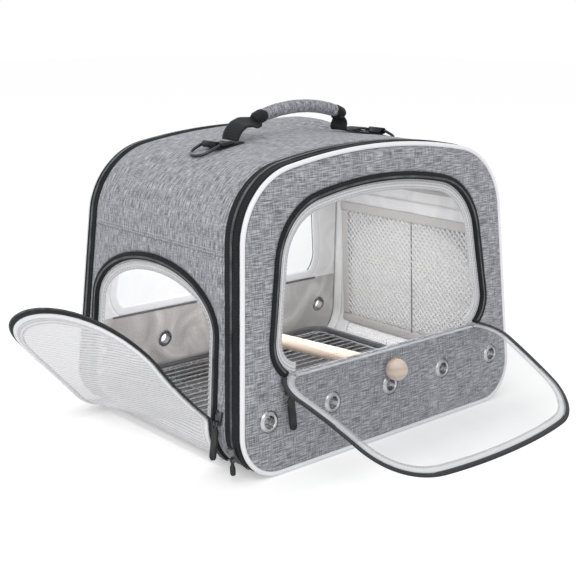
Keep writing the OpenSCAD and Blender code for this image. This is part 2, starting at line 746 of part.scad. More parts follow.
// Webbing sewn along the roof from each strap's foot to its ring, with the loop for the ring
ring_bar = [ring_x, 0, roof_z(ring_x) + webbing_t + ring_wire_d / 2 + webbing_t + 0.3];
loop_r = ring_wire_d / 2 + 0.2;
module strap_anchors() color("#26282a") for (side = [0, 1]) mirror([side, 0, 0]) {
    intersection() {
        wall_ring(-webbing_t, -seat);
        translate([strap_foot_x - 8, -webbing_w / 2, 0]) cube([ring_x - strap_foot_x + 8, webbing_w, far]);
    }
    translate([ring_x, (ring_in_w - 3) / 2, ring_bar[2]]) rotate([90, 0, 0]) difference() {
        union() {
            cylinder(h = ring_in_w - 3, r = loop_r + webbing_t);
            translate([-loop_r - webbing_t, -loop_r - webbing_t - 0.3])
                cube([loop_r + webbing_t, loop_r + webbing_t + 0.3, ring_in_w - 3]);
        }
        translate([0, 0, -1]) cylinder(h = ring_in_w, r = loop_r);
    }
}

// A D-ring: its bar in the webbing loop, two short legs and a round bow that lies down
// until its end is ring_clear above the roof
half = (ring_in_w + ring_wire_d) / 2;
ring_clear = 0.6;
ring_reach = 0.92 * (ring_leg + half);
ring_tilt = atan2(ring_bar[2] - roof_z(ring_x + ring_reach) - 0.55 * ring_wire_d - ring_clear,
                  ring_reach);
module d_ring() color("#303236") translate(ring_bar) rotate([0, ring_tilt, 0]) {
    wire([0, -half, 0], [0, half, 0], ring_wire_d);
    for (s = [-1, 1]) wire([0, s * half, 0], [ring_leg, s * half, 0], ring_wire_d);
    for (s = [-1, 1]) translate([0, s * half, 0]) sphere(d = ring_wire_d, $fn = 32);
    translate([ring_leg, 0, 0]) rotate([0, 0, -90]) rotate_extrude(angle = 180, $fn = 64)
        translate([half, 0]) circle(d = ring_wire_d, $fn = 24);
}

module right_d_ring() d_ring();
module left_d_ring() mirror([1, 0, 0]) d_ring();

// ---------- zip sliders ----------

// A slider on a track that runs along z, facing -y, with its bail
bail_y = -(slider_t + 1.9);
bail_r = 0.8;
eye_w = 3;
module slider() color("#26282a") {
    translate([0, 0, 0]) rotate([90, 0, 0]) linear_extrude(slider_t) polygon([
        [-slider_w / 2, slider_l / 2], [-slider_w / 2 + 1, slider_l / 2 + 1], [0, slider_l / 2 - 1],
        [slider_w / 2 - 1, slider_l / 2 + 1], [slider_w / 2, slider_l / 2],
        [slider_w / 2 - 1.5, -slider_l / 2], [-slider_w / 2 + 1.5, -slider_l / 2]
    ]);
    for (s = [-1, 1]) translate([s * (eye_w / 2 + 0.8) - 0.5, bail_y - bail_r - 0.4, -slider_l / 2])
        cube([1, -bail_y + bail_r + 0.4 - slider_t + 0.2, 4]);
    translate([-eye_w / 2 - 1, bail_y, -slider_l / 2 + 2]) rotate([0, 90, 0])
        cylinder(h = eye_w + 2, r = bail_r);
}

// A pull that hangs from the bail, with its eye, a waist and a rounded end
module pull(l, w) color("#1f2123") translate([0, bail_y, -slider_l / 2 + 2]) rotate([90, 0, 0])
    translate([0, 0, -pull_t / 2]) difference() {
        union() {
            linear_extrude(pull_t) polygon([
                [-eye_w / 2 + 0.2, 1.6], [eye_w / 2 - 0.2, 1.6], [eye_w / 2 - 0.2, -4.2],
                [w / 2, -7], [w / 2, -l + w / 2], [-w / 2, -l + w / 2], [-w / 2, -7],
                [-eye_w / 2 + 0.2, -4.2]
            ]);
            translate([0, -l + w / 2]) cylinder(h = pull_t, d = w);
        }
        translate([-w, 0, pull_t / 2]) rotate([0, 90, 0]) cylinder(h = 2 * w, r = bail_r + run_gap);
    }

// On the curve of a lower corner, on the coil of a panel zip
corner_slider_turn = 20;
module corner_slider_place(w) {
    middle = [-body_w / 2 + foot_r * tan(side_lean) + foot_r / cos(side_lean), foot_r];
    at_front() translate([middle[0], piping_d + w, middle[1]])
        rotate([0, -corner_slider_turn, 0]) translate([-foot_r - coil_h - seat, 0, 0])
            rotate([0, 0, -90]) children();
}

// A pull hangs plumb from its bail, though its slider leans by lean with what it runs on
module plumb_pull(l, w, lean) translate([0, bail_y, -slider_l / 2 + 2]) rotate([-lean, 0, 0])
    translate([0, -bail_y, slider_l / 2 - 2]) pull(l, w);

module short_pull(w) corner_slider_place(w) plumb_pull(short_pull_l, short_pull_w, corner_slider_turn);

module front_zip_slider() corner_slider_place(front_tape_w) slider();
module front_zip_pull() short_pull(front_tape_w);
module back_zip_slider() rotate([0, 0, 180]) corner_slider_place(back_tape_w) slider();
module back_zip_pull() rotate([0, 0, 180]) short_pull(back_tape_w);

// The flap's slider is parked at the left end of its zip, under the hinge line and clear
// of the open flap
flap_slider_drop = 5;
module flap_slider_place() at_front()
    translate([-window_hem_w / 2 + slider_w / 2, -hem_t - seat,
               window_hinge_v - slider_l / 2 - flap_slider_drop])
        children();
module flap_slider() flap_slider_place() slider();
module flap_pull() flap_slider_place() plumb_pull(long_pull_l, long_pull_w, end_lean);

// The door's slider is parked low on the front leg of its zip, just outside the door
door_slider_z = door_sill_z + door_slider_rise;
module door_slider_place() translate([-side_x(door_slider_z) - seat / cos(side_lean),
                                      door_y - door_half_w - door_flare - slider_w / 2, door_slider_z])
    rotate([0, side_lean, 0]) rotate([0, 0, -90]) children();
module door_slider() door_slider_place() slider();
module door_pull() door_slider_place() plumb_pull(long_pull_l, long_pull_w, side_lean);

// ---------- clear flap ----------

// A flat shape on the flap, whose inner face closes against the frame, from w0 to w1 outwards
module on_flap(w0, w1) flap_place() translate([0, -w0, 0]) rotate([90, 0, 0]) linear_extrude(w1 - w0)
    translate([0, -window_hinge_v]) children();

// The flap's shape, drawn in by inset from its zip tape's outer edge
module flap_shape(inset) difference() {
    polygon(window_outline(inset - flap_over));
    translate([-far / 2, window_hinge_v - far + 0.4]) square(far);
}
flap_tape_w = binding_w;

module flap_window() color("#dfe6ea", 0.4) on_flap(0.2, 0.2 + pane_t) difference() {
    flap_shape(flap_tape_w + flap_edge_w + seat);
    translate([-far / 2, window_hinge_v - far + flap_edge_w + 0.4]) square(far);
}

module flap_edge() color("#e9eaee") on_flap(0, pane_t + 0.4) difference() {
    flap_shape(flap_tape_w);
    difference() {
        flap_shape(flap_tape_w + flap_edge_w);
        translate([-far / 2, window_hinge_v - far + flap_edge_w + 0.4 - seat]) square(far);
    }
}

module flap_zip_tape() color("#2b2d30") on_flap(0.1, 0.1 + tape_t) difference() {
    flap_shape(0);
    polygon(window_outline(flap_tape_w - flap_over - seat));
}

// ---------- mesh door ----------

// A layer of the door, outside the wall from out0 to out1, between two insets of its outline
module door_piece(out0, out1, inset0, inset1) door_place() difference() {
    intersection() {
        wall_ring(-hem_t - flap_gap - out1, -hem_t - flap_gap - out0);
        left_half();
        through_sides() polygon(door_outline(door_under + inset0, door_sill_z));
    }
    if (inset1 > 0)
        through_sides() polygon(door_outline(door_under + inset1, door_sill_z - 1));
}

door_under = 1;
door_tape_w = binding_w - 1;
module door_zip_tape() color("#2b2d30") door_piece(0.1, 0.1 + tape_t, 0, door_tape_w);
module door_piping() color("#f2f2f6")
    door_piece(0, 2.6, door_tape_w + seat, door_tape_w + door_piping_w);
module door_mesh() color("#e4e4e2")
    door_piece(0.2, 0.2 + mesh_t, door_tape_w + door_piping_w + seat, 0);

bottom_panel();
left_side_panel();
right_side_panel();
top_panel();
base_board();
front_shell_tape();
front_panel_tape();
front_zip_coil();
back_shell_tape();
back_panel_tape();
back_zip_coil();
front_panel();
front_piping();
front_window_binding();
front_inner_band();
front_hem();
front_eyelets();
back_panel();
back_piping();
back_window_binding();
back_window();
back_eyelets();
door_frame_binding();
door_inner_band();
right_window_mesh();
right_window_binding();
mesh_pocket();
pocket_binding();
tray();
grate_frame();
grate_wires();
grate_feet();
perch();
front_knob();
back_knob();
strap_anchors();
handle_grip();
handle_caps();
handle_straps();
left_d_ring();
right_d_ring();
front_zip_slider();
front_zip_pull();
back_zip_slider();
back_zip_pull();
flap_slider();
flap_pull();
door_slider();
door_pull();
flap_window();
flap_edge();
flap_zip_tape();
door_mesh();
door_piping();
door_zip_tape();
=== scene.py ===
"""A soft-sided bird travel carrier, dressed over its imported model.

Sizes are worked in millimetres and written to the meshes in metres. The front panel's
own coordinates are x to the right, w inwards from its outer face and v up the panel.
"""
import math

import bmesh
import bpy
import mathutils
import numpy as np
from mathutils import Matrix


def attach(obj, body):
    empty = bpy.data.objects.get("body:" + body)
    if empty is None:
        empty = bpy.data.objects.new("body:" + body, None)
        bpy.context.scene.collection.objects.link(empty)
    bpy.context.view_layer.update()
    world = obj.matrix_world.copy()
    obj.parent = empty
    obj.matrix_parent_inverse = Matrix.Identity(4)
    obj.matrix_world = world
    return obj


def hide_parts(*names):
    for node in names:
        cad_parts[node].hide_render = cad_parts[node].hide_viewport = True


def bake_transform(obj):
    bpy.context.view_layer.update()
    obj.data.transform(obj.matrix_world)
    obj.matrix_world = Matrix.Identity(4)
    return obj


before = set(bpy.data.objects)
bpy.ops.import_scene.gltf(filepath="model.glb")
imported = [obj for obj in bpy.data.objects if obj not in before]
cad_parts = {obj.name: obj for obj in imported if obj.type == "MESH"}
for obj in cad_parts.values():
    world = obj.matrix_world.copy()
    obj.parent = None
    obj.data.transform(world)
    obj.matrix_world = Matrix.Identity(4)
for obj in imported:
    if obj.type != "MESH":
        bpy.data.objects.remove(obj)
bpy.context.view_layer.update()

# ---------------------------------------------------------------- sizes, as in the part

BODY_W, BODY_D, BODY_H, WALL = 406.0, 300.0, 305.0, 5.0
SIDE_LEAN, END_LEAN = math.radians(3.8), math.radians(4.6)
FOOT_R, SHOULDER_R, CROWN_RISE = 45.0, 77.0, 25.0
SIDE_SEAM_Z, BOTTOM_SEAM_Z = 210.0, 6.5
PIPING_D, FRONT_TAPE_W, BACK_TAPE_W, TAPE_T = 5.0, 10.5, 7.0, 1.2
BAND_FOOT_Z = 9.0
PANEL_T = 5.0
WINDOW_W, WINDOW_H, WINDOW_BASE = 335.0, 190.0, 86.0
WINDOW_LEAN, WINDOW_FOOT_R = math.radians(8.5), 40.0
WINDOW_SHOULDER_R, WINDOW_RISE = 74.0, 22.0
HINGE_V = WINDOW_BASE + 10.0
BINDING_W, INNER_BAND_W, HEM_H, HEM_T = 8.0, 7.0, 12.0, 0.8
EYELET_PITCH, EYELET_V = 83.0, 56.0
PERCH_FRONT_V = 74.0
FLAP_GAP, FLAP_OVER = 0.3, 1.0
DOOR_Y, DOOR_HALF, DOOR_FLARE = 6.0, 110.0, 4.0
DOOR_SILL, DOOR_SPRING, DOOR_RISE, DOOR_UNDER = 10.0, 132.0, 63.0, 1.0
DOOR_PIPING_W = 4.0
POCKET_LOW, POCKET_HIGH, POCKET_L, POCKET_TAPE, POCKET_DEPTH = 33.0, 196.0, 236.0, 12.0, 3.0
GRIP_L, GRIP_D, GRIP_LIFT, GRIP_RISE, CAP_L = 110.0, 15.0, 28.0, 8.0, 11.0
WEBBING_W, WEBBING_T, STRAP_FOOT_X = 25.0, 2.0, 94.0
RING_X, RING_WIRE_D = 121.0, 3.2
SEAT = 0.05

# ---------------------------------------------------------------- meshes from numpy


def resample(points, count, closed=True):
    """Points spaced evenly by arc length along a polyline, found by linear interpolation."""
    points = np.asarray(points, float)
    if closed:
        points = np.vstack([points, points[:1]])
    along = np.r_[0, np.cumsum(np.linalg.norm(np.diff(points, axis=0), axis=1))]
    at = np.linspace(0, along[-1], count + 1 if closed else count)
    at = at[:-1] if closed else at
    return spread_on(at, along, points)


def arc_points(cx, cy, radius, a0, a1, count):
    """A circle's points: the centre plus the radius times (cos a, sin a)."""
    a = np.linspace(a0, a1, count)
    return np.stack([cx + radius * np.cos(a), cy + radius * np.sin(a)], 1)


def crowned(w, h, lean, foot, shoulder, rise, inset=0.0, base=0.0):
    """A closed outline, anticlockwise from the middle of its base: a foot arc, a side that
    leans inwards, a shoulder arc tangent to the side and to the crown, and a crown arc that
    rises by rise over the roof. An inset draws every arc in about its own centre."""
    t = math.tan(lean)
    half = w / 2 - h * t
    crown = (half * half + rise * rise) / (2 * rise)
    centre = h - crown
    a = w / 2 - shoulder / math.cos(lean)
    b, c = a * t + centre, a * a + centre * centre - (crown - shoulder) ** 2
    z = (b + math.sqrt(b * b - (1 + t * t) * c)) / (1 + t * t)
    x = a - z * t
    turn = math.atan2(z - centre, x)
    foot_x = w / 2 - foot * t - foot / math.cos(lean)
    right = np.vstack([
        arc_points(foot_x, foot, foot - inset, -math.pi / 2, lean, 30),
        arc_points(x, z, shoulder - inset, lean, turn, 40),
        arc_points(0, centre, crown - inset, turn, math.pi / 2, 40),
    ])
    left = right[-2::-1] * [-1, 1]
    return np.vstack([[[0, inset]], right, left]) + [0, base]


def body_outline(inset=0.0):
    return crowned(BODY_W, BODY_H, SIDE_LEAN, FOOT_R, SHOULDER_R, CROWN_RISE, inset)


def window_outline(inset=0.0):
    return crowned(WINDOW_W, WINDOW_H, WINDOW_LEAN, WINDOW_FOOT_R, WINDOW_SHOULDER_R,
                   WINDOW_RISE, inset, WINDOW_BASE)


def above(loop, level, count):
    """The part of a closed outline above a level, as an open path of evenly spaced points."""
    dense = resample(loop, 4000)
    kept = dense[dense[:, 1] >= level]
    ends = [[kept[0, 0], level]], [[kept[-1, 0], level]]
    return resample(np.vstack([ends[0], kept, ends[1]]), count, closed=False)


def window_arch(inset, rise=0.0, count=420):
    """The window's outline drawn in by an inset, from a rise over its hinge line upwards."""
    return above(window_outline(inset), HINGE_V + rise, count)


def unit(v):
    return v / np.maximum(np.linalg.norm(v, axis=-1, keepdims=True), 1e-12)


def tangents(path, closed):
    """Central differences along a path, one-sided at the ends of an open one."""
    if closed:
        return unit(np.roll(path, -1, 0) - np.roll(path, 1, 0))
    return unit(np.gradient(path, axis=0))


def lengths(path):
    """Arc length at each point of a path."""
    return np.r_[0, np.cumsum(np.linalg.norm(np.diff(path, axis=0), axis=1))]


def waves(u, v, seed, scale):
    """A smooth random height from -1 to 1: a sum of sines with random directions and phases
    whose wavelengths spread round scale."""
    terms = 7
    r = np.random.default_rng(seed)
    total = np.zeros(np.broadcast(u, v).shape)
    for turn, phase, stretch in zip(r.uniform(0, math.pi, terms), r.uniform(0, 6.28, terms),
                                    r.uniform(0.6, 1.7, terms)):
        k = 2 * math.pi / (scale * stretch)
        total += np.sin(k * (u * math.cos(turn) + v * math.sin(turn)) + phase)
    return total / terms * 1.6


def listed(faces):
    """Faces as plain lists, whether they come as an array or as lists."""
    return faces.tolist() if isinstance(faces, np.ndarray) else faces


def piece(name, points, faces, materials, body, replaces=(), uv=None,
          face_slots=None):
    """A finished mesh: points in millimetres, faces as index rows, and uv in metres."""
    mesh = bpy.data.meshes.new(name)
    mesh.from_pydata((np.asarray(points, float) * 0.001).tolist(), [], listed(faces))
    mesh.polygons.foreach_set("use_smooth", np.ones(len(mesh.polygons), bool))
    for material in materials if isinstance(materials, (list, tuple)) else [materials]:
        mesh.materials.append(material)
    if face_slots is not None:
        mesh.polygons.foreach_set("material_index", np.asarray(face_slots, np.int32))
    if uv is not None:
        corners = np.empty(len(mesh.loops), np.int32)
        mesh.loops.foreach_get("vertex_index", corners)
        layer = mesh.uv_layers.new(name="cloth")
        layer.data.foreach_set("uv", (np.asarray(uv, float) * 0.001)[corners].ravel())
    mesh.validate()
    whole = bmesh.new()
    whole.from_mesh(mesh)
    bmesh.ops.recalc_face_normals(whole, faces=whole.faces)
    whole.to_mesh(mesh)
    whole.free()
    mesh.update()
    made = bpy.data.objects.new(name, mesh)
    bpy.context.scene.collection.objects.link(made)
    if body:
        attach(made, body)
    if replaces:
        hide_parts(*([replaces] if isinstance(replaces, str) else replaces))
    return made


def sewn(name, part, material, body, replaces=()):
    """A piece from one swept or joined part: its points, faces and uv."""
    points, faces, uv = part
    return piece(name, points, faces, material, body, replaces, uv)


def nearest(points, loop):
    """Distance from each point to a closed outline, and the nearest point on it: each point is
    projected on each segment, with the parameter held between 0 and 1."""
    ab = np.roll(loop, -1, 0) - loop
    best_d = np.full(len(points), 1e9)
    best_q = np.zeros((len(points), 2))
    for start in range(0, len(points), 4000):
        p = points[start:start + 4000, None]
        t = ((p - loop) * ab).sum(-1) / np.maximum((ab * ab).sum(-1), 1e-12)
        q = loop + np.clip(t, 0, 1)[..., None] * ab
        d = np.linalg.norm(p - q, axis=-1)
        i = d.argmin(1)
        rows = np.arange(len(i))
        best_d[start:start + 4000], best_q[start:start + 4000] = d[rows, i], q[rows, i]
    return best_d, best_q


def inside(points, loop):
    """Even-odd rule: how many edges a ray to the right crosses."""
    a, b = loop, np.roll(loop, -1, 0)
    result = np.zeros(len(points), bool)
    for (ax, ay), (bx, by) in zip(a, b):
        if ay == by:
            continue
        hit = (ay > points[:, 1]) != (by > points[:, 1])
        x = (bx - ax) * (points[:, 1] - ay) / (by - ay) + ax
        result ^= hit & (points[:, 0] < x)
    return result


def patch(outer, holes=(), step=3.0):
    """A flat sheet between closed outlines: the cells of a square grid whose centres lie in
    the cloth, with the points on its border moved to the nearest point of an outline.
    Returns the points, the quads and each point's distance to the border."""
    low, high = outer.min(0) - step, outer.max(0) + step
    nx, ny = (np.ceil((high - low) / step).astype(int) + 1)
    gx, gy = np.meshgrid(low[0] + step * np.arange(nx), low[1] + step * np.arange(ny),
                         indexing="ij")
    points = np.stack([gx.ravel(), gy.ravel()], 1)
    i, j = np.meshgrid(np.arange(nx - 1), np.arange(ny - 1), indexing="ij")
    corner = (i * ny + j).ravel()
    quads = np.stack([corner, corner + ny, corner + ny + 1, corner + 1], 1)
    middle = points[quads].mean(1)
    kept = inside(middle, outer)
    for hole in holes:
        kept &= ~inside(middle, hole)
    quads = quads[kept]
    used, quads = np.unique(quads, return_inverse=True)
    quads = quads.reshape(-1, 4)
    points = points[used]
    count = np.bincount(quads.ravel(), minlength=len(points))
    border = count < 4
    best_d = np.full(len(points), 1e9)
    best_q = points.copy()
    for loop in (outer, *holes):
        d, q = nearest(points, loop)
        closer = d < best_d
        best_d[closer], best_q[closer] = d[closer], q[closer]
    points[border] = best_q[border]
    best_d[border] = 0
    return points, quads, best_d


def two_sided(top, under, quads):
    """A closed sheet: the quads on top, their reverse underneath, and a wall on each edge
    that only one quad uses. Returns the points, the faces and 0, 1 or 2 for top, under, rim."""
    n = len(top)
    edges = np.concatenate([quads[:, [k, (k + 1) % 4]] for k in range(4)])
    rim = edges[~np.isin(edges[:, 0] * n + edges[:, 1], edges[:, 1] * n + edges[:, 0])]
    walls = np.stack([rim[:, 1], rim[:, 0], rim[:, 0] + n, rim[:, 1] + n], 1)
    faces = np.vstack([quads, quads[:, ::-1] + n, walls])
    kinds = np.r_[np.zeros(len(quads)), np.ones(len(quads)), 2 * np.ones(len(walls))]
    return np.vstack([top, under]), faces, kinds.astype(int)


def sweep(path, up, profile, closed=False, scale=None, shift=None):
    """A profile carried along a path: each point is the path's point, plus the profile's
    first value times the side direction (tangent x up) and its second times up. scale
    changes the profile along the way, and shift is added to it. Returns points, faces and
    (along, round) in mm."""
    t = tangents(path, closed)
    up = np.asarray(up, float)
    up = unit(up - (up * t).sum(-1, keepdims=True) * t)
    side = np.cross(t, up)
    profile = np.asarray(profile, float)
    n, m = len(path), len(profile)
    shape = np.broadcast_to(profile, (n, m, 2)) if scale is None else profile * scale
    shape = shape if shift is None else shape + shift
    points = path[:, None] + shape[..., :1] * side[:, None] + shape[..., 1:] * up[:, None]
    rows = np.arange(n if closed else n - 1)[:, None]
    cols = np.arange(m)[None]
    nxt_r, nxt_c = (rows + 1) % n, (cols + 1) % m
    faces = np.stack([rows * m + cols, nxt_r * m + cols, nxt_r * m + nxt_c,
                      rows * m + nxt_c], -1).reshape(-1, 4).tolist()
    if not closed:
        faces.append(list(range(m)))
        faces.append(list(range((n - 1) * m + m - 1, (n - 1) * m - 1, -1)))
    round_mm = lengths(profile)
    uv = np.stack(np.broadcast_arrays(lengths(path)[:, None], round_mm[None]), -1)
    return points.reshape(-1, 3), faces, uv.reshape(-1, 2)


def tape_profile(width, thick, crown=0.15, count=7):
    """A flat tape's section: a slightly crowned top with rounded edges over a flat back."""
    x = np.linspace(-1, 1, count)
    top = np.stack([x * width / 2, thick * (1 - crown * x ** 2) - thick * 0.35 * (abs(x) == 1)], 1)
    return np.vstack([[[-width / 2, 0], [width / 2, 0]], top[::-1]])


def round_profile(radius, count=12, height=None):
    a = np.linspace(0, 2 * math.pi, count, endpoint=False)
    return np.stack([radius * np.cos(a), (height or radius) * np.sin(a)], 1)


def joined(parts):
    """Several (points, faces, uv) put together as one."""
    points, faces, uvs, start = [], [], [], 0
    for p, f, uv in parts:
        points.append(p)
        faces += [[i + start for i in face] for face in listed(f)]
        uvs.append(uv)
        start += len(p)
    return np.vstack(points), faces, np.vstack(uvs)


def spread_on(at, along, values):
    """Each column of values, known at the lengths along, read off at the lengths at."""
    return np.stack([np.interp(at, along, values[:, k]) for k in range(values.shape[1])], 1)


def stitches(path, up, pitch=3.4, length=2.4, radius=0.28, lift=0.0, shift=0.0):
    """A row of sewn stitches: a short spindle, of four points round its middle and one at
    each end, copied along the path at every pitch and moved aside by shift."""
    total = lengths(path)
    count = max(2, int(total[-1] / pitch))
    at = (np.arange(count) + 0.5) * total[-1] / count
    middle = spread_on(at, total, path)
    u = unit(spread_on(at, total, np.broadcast_to(up, path.shape)))
    t = unit(spread_on(at + 0.1, total, path) - spread_on(at - 0.1, total, path))
    side = np.cross(t, u)
    middle = middle + side * shift + u * lift
    ends = length / 2
    parts = [middle - t * ends, middle + side * radius, middle + u * radius,
             middle - side * radius, middle - u * radius, middle + t * ends]
    points = np.stack(parts, 1).reshape(-1, 3)
    base = np.array([[0, 1, 4, 4], [0, 2, 1, 1], [0, 3, 2, 2], [0, 4, 3, 3],
                     [5, 4, 1, 1], [5, 1, 2, 2], [5, 2, 3, 3], [5, 3, 4, 4]])[:, :3]
    faces = (base[None] + 6 * np.arange(count)[:, None, None]).reshape(-1, 3)
    return points, faces, np.zeros((len(points), 2))


# ---------------------------------------------------------------- places


def front(x, w, v):
    """A point on the front panel: w goes inwards and v up, both turned by the panel's lean."""
    x, w, v = np.broadcast_arrays(np.asarray(x, float), w, v)
    return np.stack([x, -BODY_D / 2 + w * math.cos(END_LEAN) + v * math.sin(END_LEAN),
                     v * math.cos(END_LEAN) - w * math.sin(END_LEAN)], -1)


FRONT_OUT = np.array([0, -math.cos(END_LEAN), math.sin(END_LEAN)])
FLIP_Y = np.array([1.0, -1.0, 1.0])
FLIP_X = np.array([-1.0, 1.0, 1.0])

PROFILE = resample(body_outline(), 2400)
PROFILE_S = lengths(PROFILE)
ROUND = PROFILE_S[-1] + np.linalg.norm(PROFILE[0] - PROFILE[-1])
PROFILE_T = tangents(PROFILE, True)
PROFILE_N = np.stack([PROFILE_T[:, 1], -PROFILE_T[:, 0]], 1)
HALF = len(PROFILE) // 2


def s_at(z):
    """Arc length along the right half of the body's outline at height z."""
    return np.interp(z, PROFILE[5:HALF, 1], PROFILE_S[5:HALF])


def wall(y, s, out=0.0):
    """A point on the body's wall: at depth y, arc length s round from the middle of the
    bottom over the right side, and out outwards along the outline's normal."""
    s = np.mod(s, ROUND)
    x = np.interp(s, PROFILE_S, PROFILE[:, 0], period=ROUND)
    z = np.interp(s, PROFILE_S, PROFILE[:, 1], period=ROUND)
    nx = np.interp(s, PROFILE_S, PROFILE_N[:, 0], period=ROUND)
    nz = np.interp(s, PROFILE_S, PROFILE_N[:, 1], period=ROUND)
    x, y, z = np.broadcast_arrays(x + out * nx, y, z + out * nz)
    return np.stack([x, y, z], -1)


def wall_normal(s):
    s = np.mod(s, ROUND)
    return np.stack([np.interp(s, PROFILE_S, PROFILE_N[:, 0], period=ROUND), 0 * s,
                     np.interp(s, PROFILE_S, PROFILE_N[:, 1], period=ROUND)], -1)


def layer_y(z, depth):
    """Where the plane that lies depth behind the front panel's face is, at height z."""
    return -BODY_D / 2 + depth / math.cos(END_LEAN) + z * math.tan(END_LEAN)


def roof_z(x):
    """The roof's height at x."""
    top = PROFILE[HALF // 2:HALF + HALF // 2]
    order = np.argsort(top[:, 0])
    return np.interp(x, top[order, 0], top[order, 1])


def arch(inset=0.0, low=DOOR_SILL):
    """The door's outline as (y, z): two legs that flare to the sill under half an ellipse."""
    a = np.linspace(0, math.pi, 60)
    top = np.stack([DOOR_Y + (DOOR_HALF - inset) * np.cos(a),
                    DOOR_SPRING + (DOOR_RISE - inset) * np.sin(a)], 1)
    foot = DOOR_HALF + DOOR_FLARE - inset
    return np.vstack([[[DOOR_Y + foot, low]], top, [[DOOR_Y - foot, low]]])


FRONT_BAND = PIPING_D + 2 * FRONT_TAPE_W
BACK_BAND = PIPING_D + 2 * BACK_TAPE_W

# ---------------------------------------------------------------- finishes


def colour(hex_code):
    """An sRGB hex value as linear RGBA."""
    parts = [int(hex_code[i:i + 2], 16) / 255 for i in (0, 2, 4)]
    return [c / 12.92 if c <= 0.04045 else ((c + 0.055) / 1.055) ** 2.4 for c in parts] + [1.0]


def add(tree, kind, settings=None, inputs=None):
    """Adds a node: settings are its properties, and inputs its sockets by name or number,
    each a value or the (node, output) that is linked to it."""
    made = tree.nodes.new(kind)
    for key, value in (settings or {}).items():
        setattr(made, key, value)
    for key, value in (inputs or {}).items():
        socket = made.inputs[key]
        if isinstance(value, tuple) and isinstance(value[0], bpy.types.Node):
            tree.links.new(value[0].outputs[value[1]], socket)
        else:
            socket.default_value = value
    return made


def blank(name, **sockets):
    """A material with one Principled shader, whose plain sockets are set here."""
    material = bpy.data.materials.new(name)
    material.use_nodes = True
    tree = material.node_tree
    shader = tree.nodes["Principled BSDF"]
    for key, value in sockets.items():
        shader.inputs[key.replace("_", " ")].default_value = value
    return material, tree, shader


def link(tree, source, shader, socket):
    tree.links.new(source[0].outputs[source[1]], shader.inputs[socket])


def tone(tree, factor, stops):
    """A colour ramp over a factor, with (position, sRGB hex) stops."""
    made = add(tree, "ShaderNodeValToRGB", None, {"Fac": factor})
    ramp = made.color_ramp
    while len(ramp.elements) < len(stops):
        ramp.elements.new(0.5)
    for element, (position, value) in zip(ramp.elements, stops):
        element.position = position
        element.color = colour(value)
    return made


def scaled(tree, coordinates, scale):
    """Coordinates in metres stretched by (x, y, z) per metre."""
    return add(tree, "ShaderNodeMapping", None, {"Vector": coordinates, "Scale": scale})


def own(tree, kind):
    """The piece's own coordinates: its UV map, or Object."""
    return add(tree, "ShaderNodeTexCoord"), kind


def noise_3d(tree, place, scale, detail, size="3D", **more):
    """Cloudy noise over a place: scale in clouds per unit, detail in finer layers on them."""
    return add(tree, "ShaderNodeTexNoise", {"noise_dimensions": size},
               {"Vector": place, "Scale": scale, "Detail": detail, **more})


def noise_2d(tree, place, scale, detail, **more):
    """The same over two coordinates, for cloth laid out flat."""
    return noise_3d(tree, place, scale, detail, "2D", **more)


def scale_add(tree, value, factor, other):
    """value times factor, plus other."""
    return add(tree, "ShaderNodeMath", {"operation": "MULTIPLY_ADD"},
               {0: value, 1: factor, 2: other})


def ranged(tree, value, low, high, to_low=0.0, to_high=1.0):
    """A value from low to high, mapped to lie between to_low and to_high."""
    return add(tree, "ShaderNodeMapRange", None,
               {"Value": value, "From Min": low, "From Max": high, "To Min": to_low,
                "To Max": to_high})


def banded(tree, place, direction, size_mm, distortion):
    """Waves across X or Y. A wave texture repeats every 2 pi / 20 units at Scale 1, so
    these waves are 1.97 times size_mm apart."""
    return add(tree, "ShaderNodeTexWave", {"wave_type": "BANDS", "bands_direction": direction},
               {"Vector": place, "Scale": 1000 / size_mm / 6.283, "Distortion": distortion,
                "Detail": 1.0})


def bump(tree, shader, height, strength, distance):
    made = add(tree, "ShaderNodeBump", None,
               {"Height": height, "Strength": strength, "Distance": distance})
    link(tree, (made, "Normal"), shader, "Normal")
    return made


def melange_polyester(name, stops, streak=(11.0, 0.95), run="V", weave=0.45):
    """Heather polyester canvas, woven from dyed and undyed yarn: fine light and dark streaks
    run with the warp, fainter ones cross them, and the eye takes them for one soft grey.
    streak is a streak's length and width in mm. Real yarn is 0.4 mm thick; it is drawn
    more than twice that, so that it still shows in the render."""
    material, tree, shader = blank(name, Roughness=0.92, Sheen_Weight=0.1,
                                   Specular_IOR_Level=0.2)
    cloth = own(tree, "UV")

    def noise(along_mm, across_mm, detail):
        u, v = (across_mm, along_mm) if run == "V" else (along_mm, across_mm)
        return noise_2d(tree, (scaled(tree, cloth, (1000 / u, 1000 / v, 1)), 0), 1.0, detail,
                        Roughness=0.6)

    warp = noise(streak[0], streak[1], 1.0)
    slub = noise(streak[0] * 2.6, streak[1] * 2.0, 0.0)
    weft = noise(streak[1], streak[0] * 0.8, 1.0)
    cloud = noise(42.0, 30.0, 2.0)
    both = scale_add(tree, (weft, "Fac"), weave, (warp, "Fac"))
    mix = scale_add(tree, (slub, "Fac"), 0.08, (both, 0))
    whole = scale_add(tree, (cloud, "Fac"), 0.05, (mix, 0))
    level = ranged(tree, (whole, 0), 0.315 + weave / 2, 0.815 + weave / 2)
    link(tree, (tone(tree, (level, 0), stops), "Color"), shader, "Base Color")
    bump(tree, shader, (mix, 0), 0.6, 0.0004)
    return material


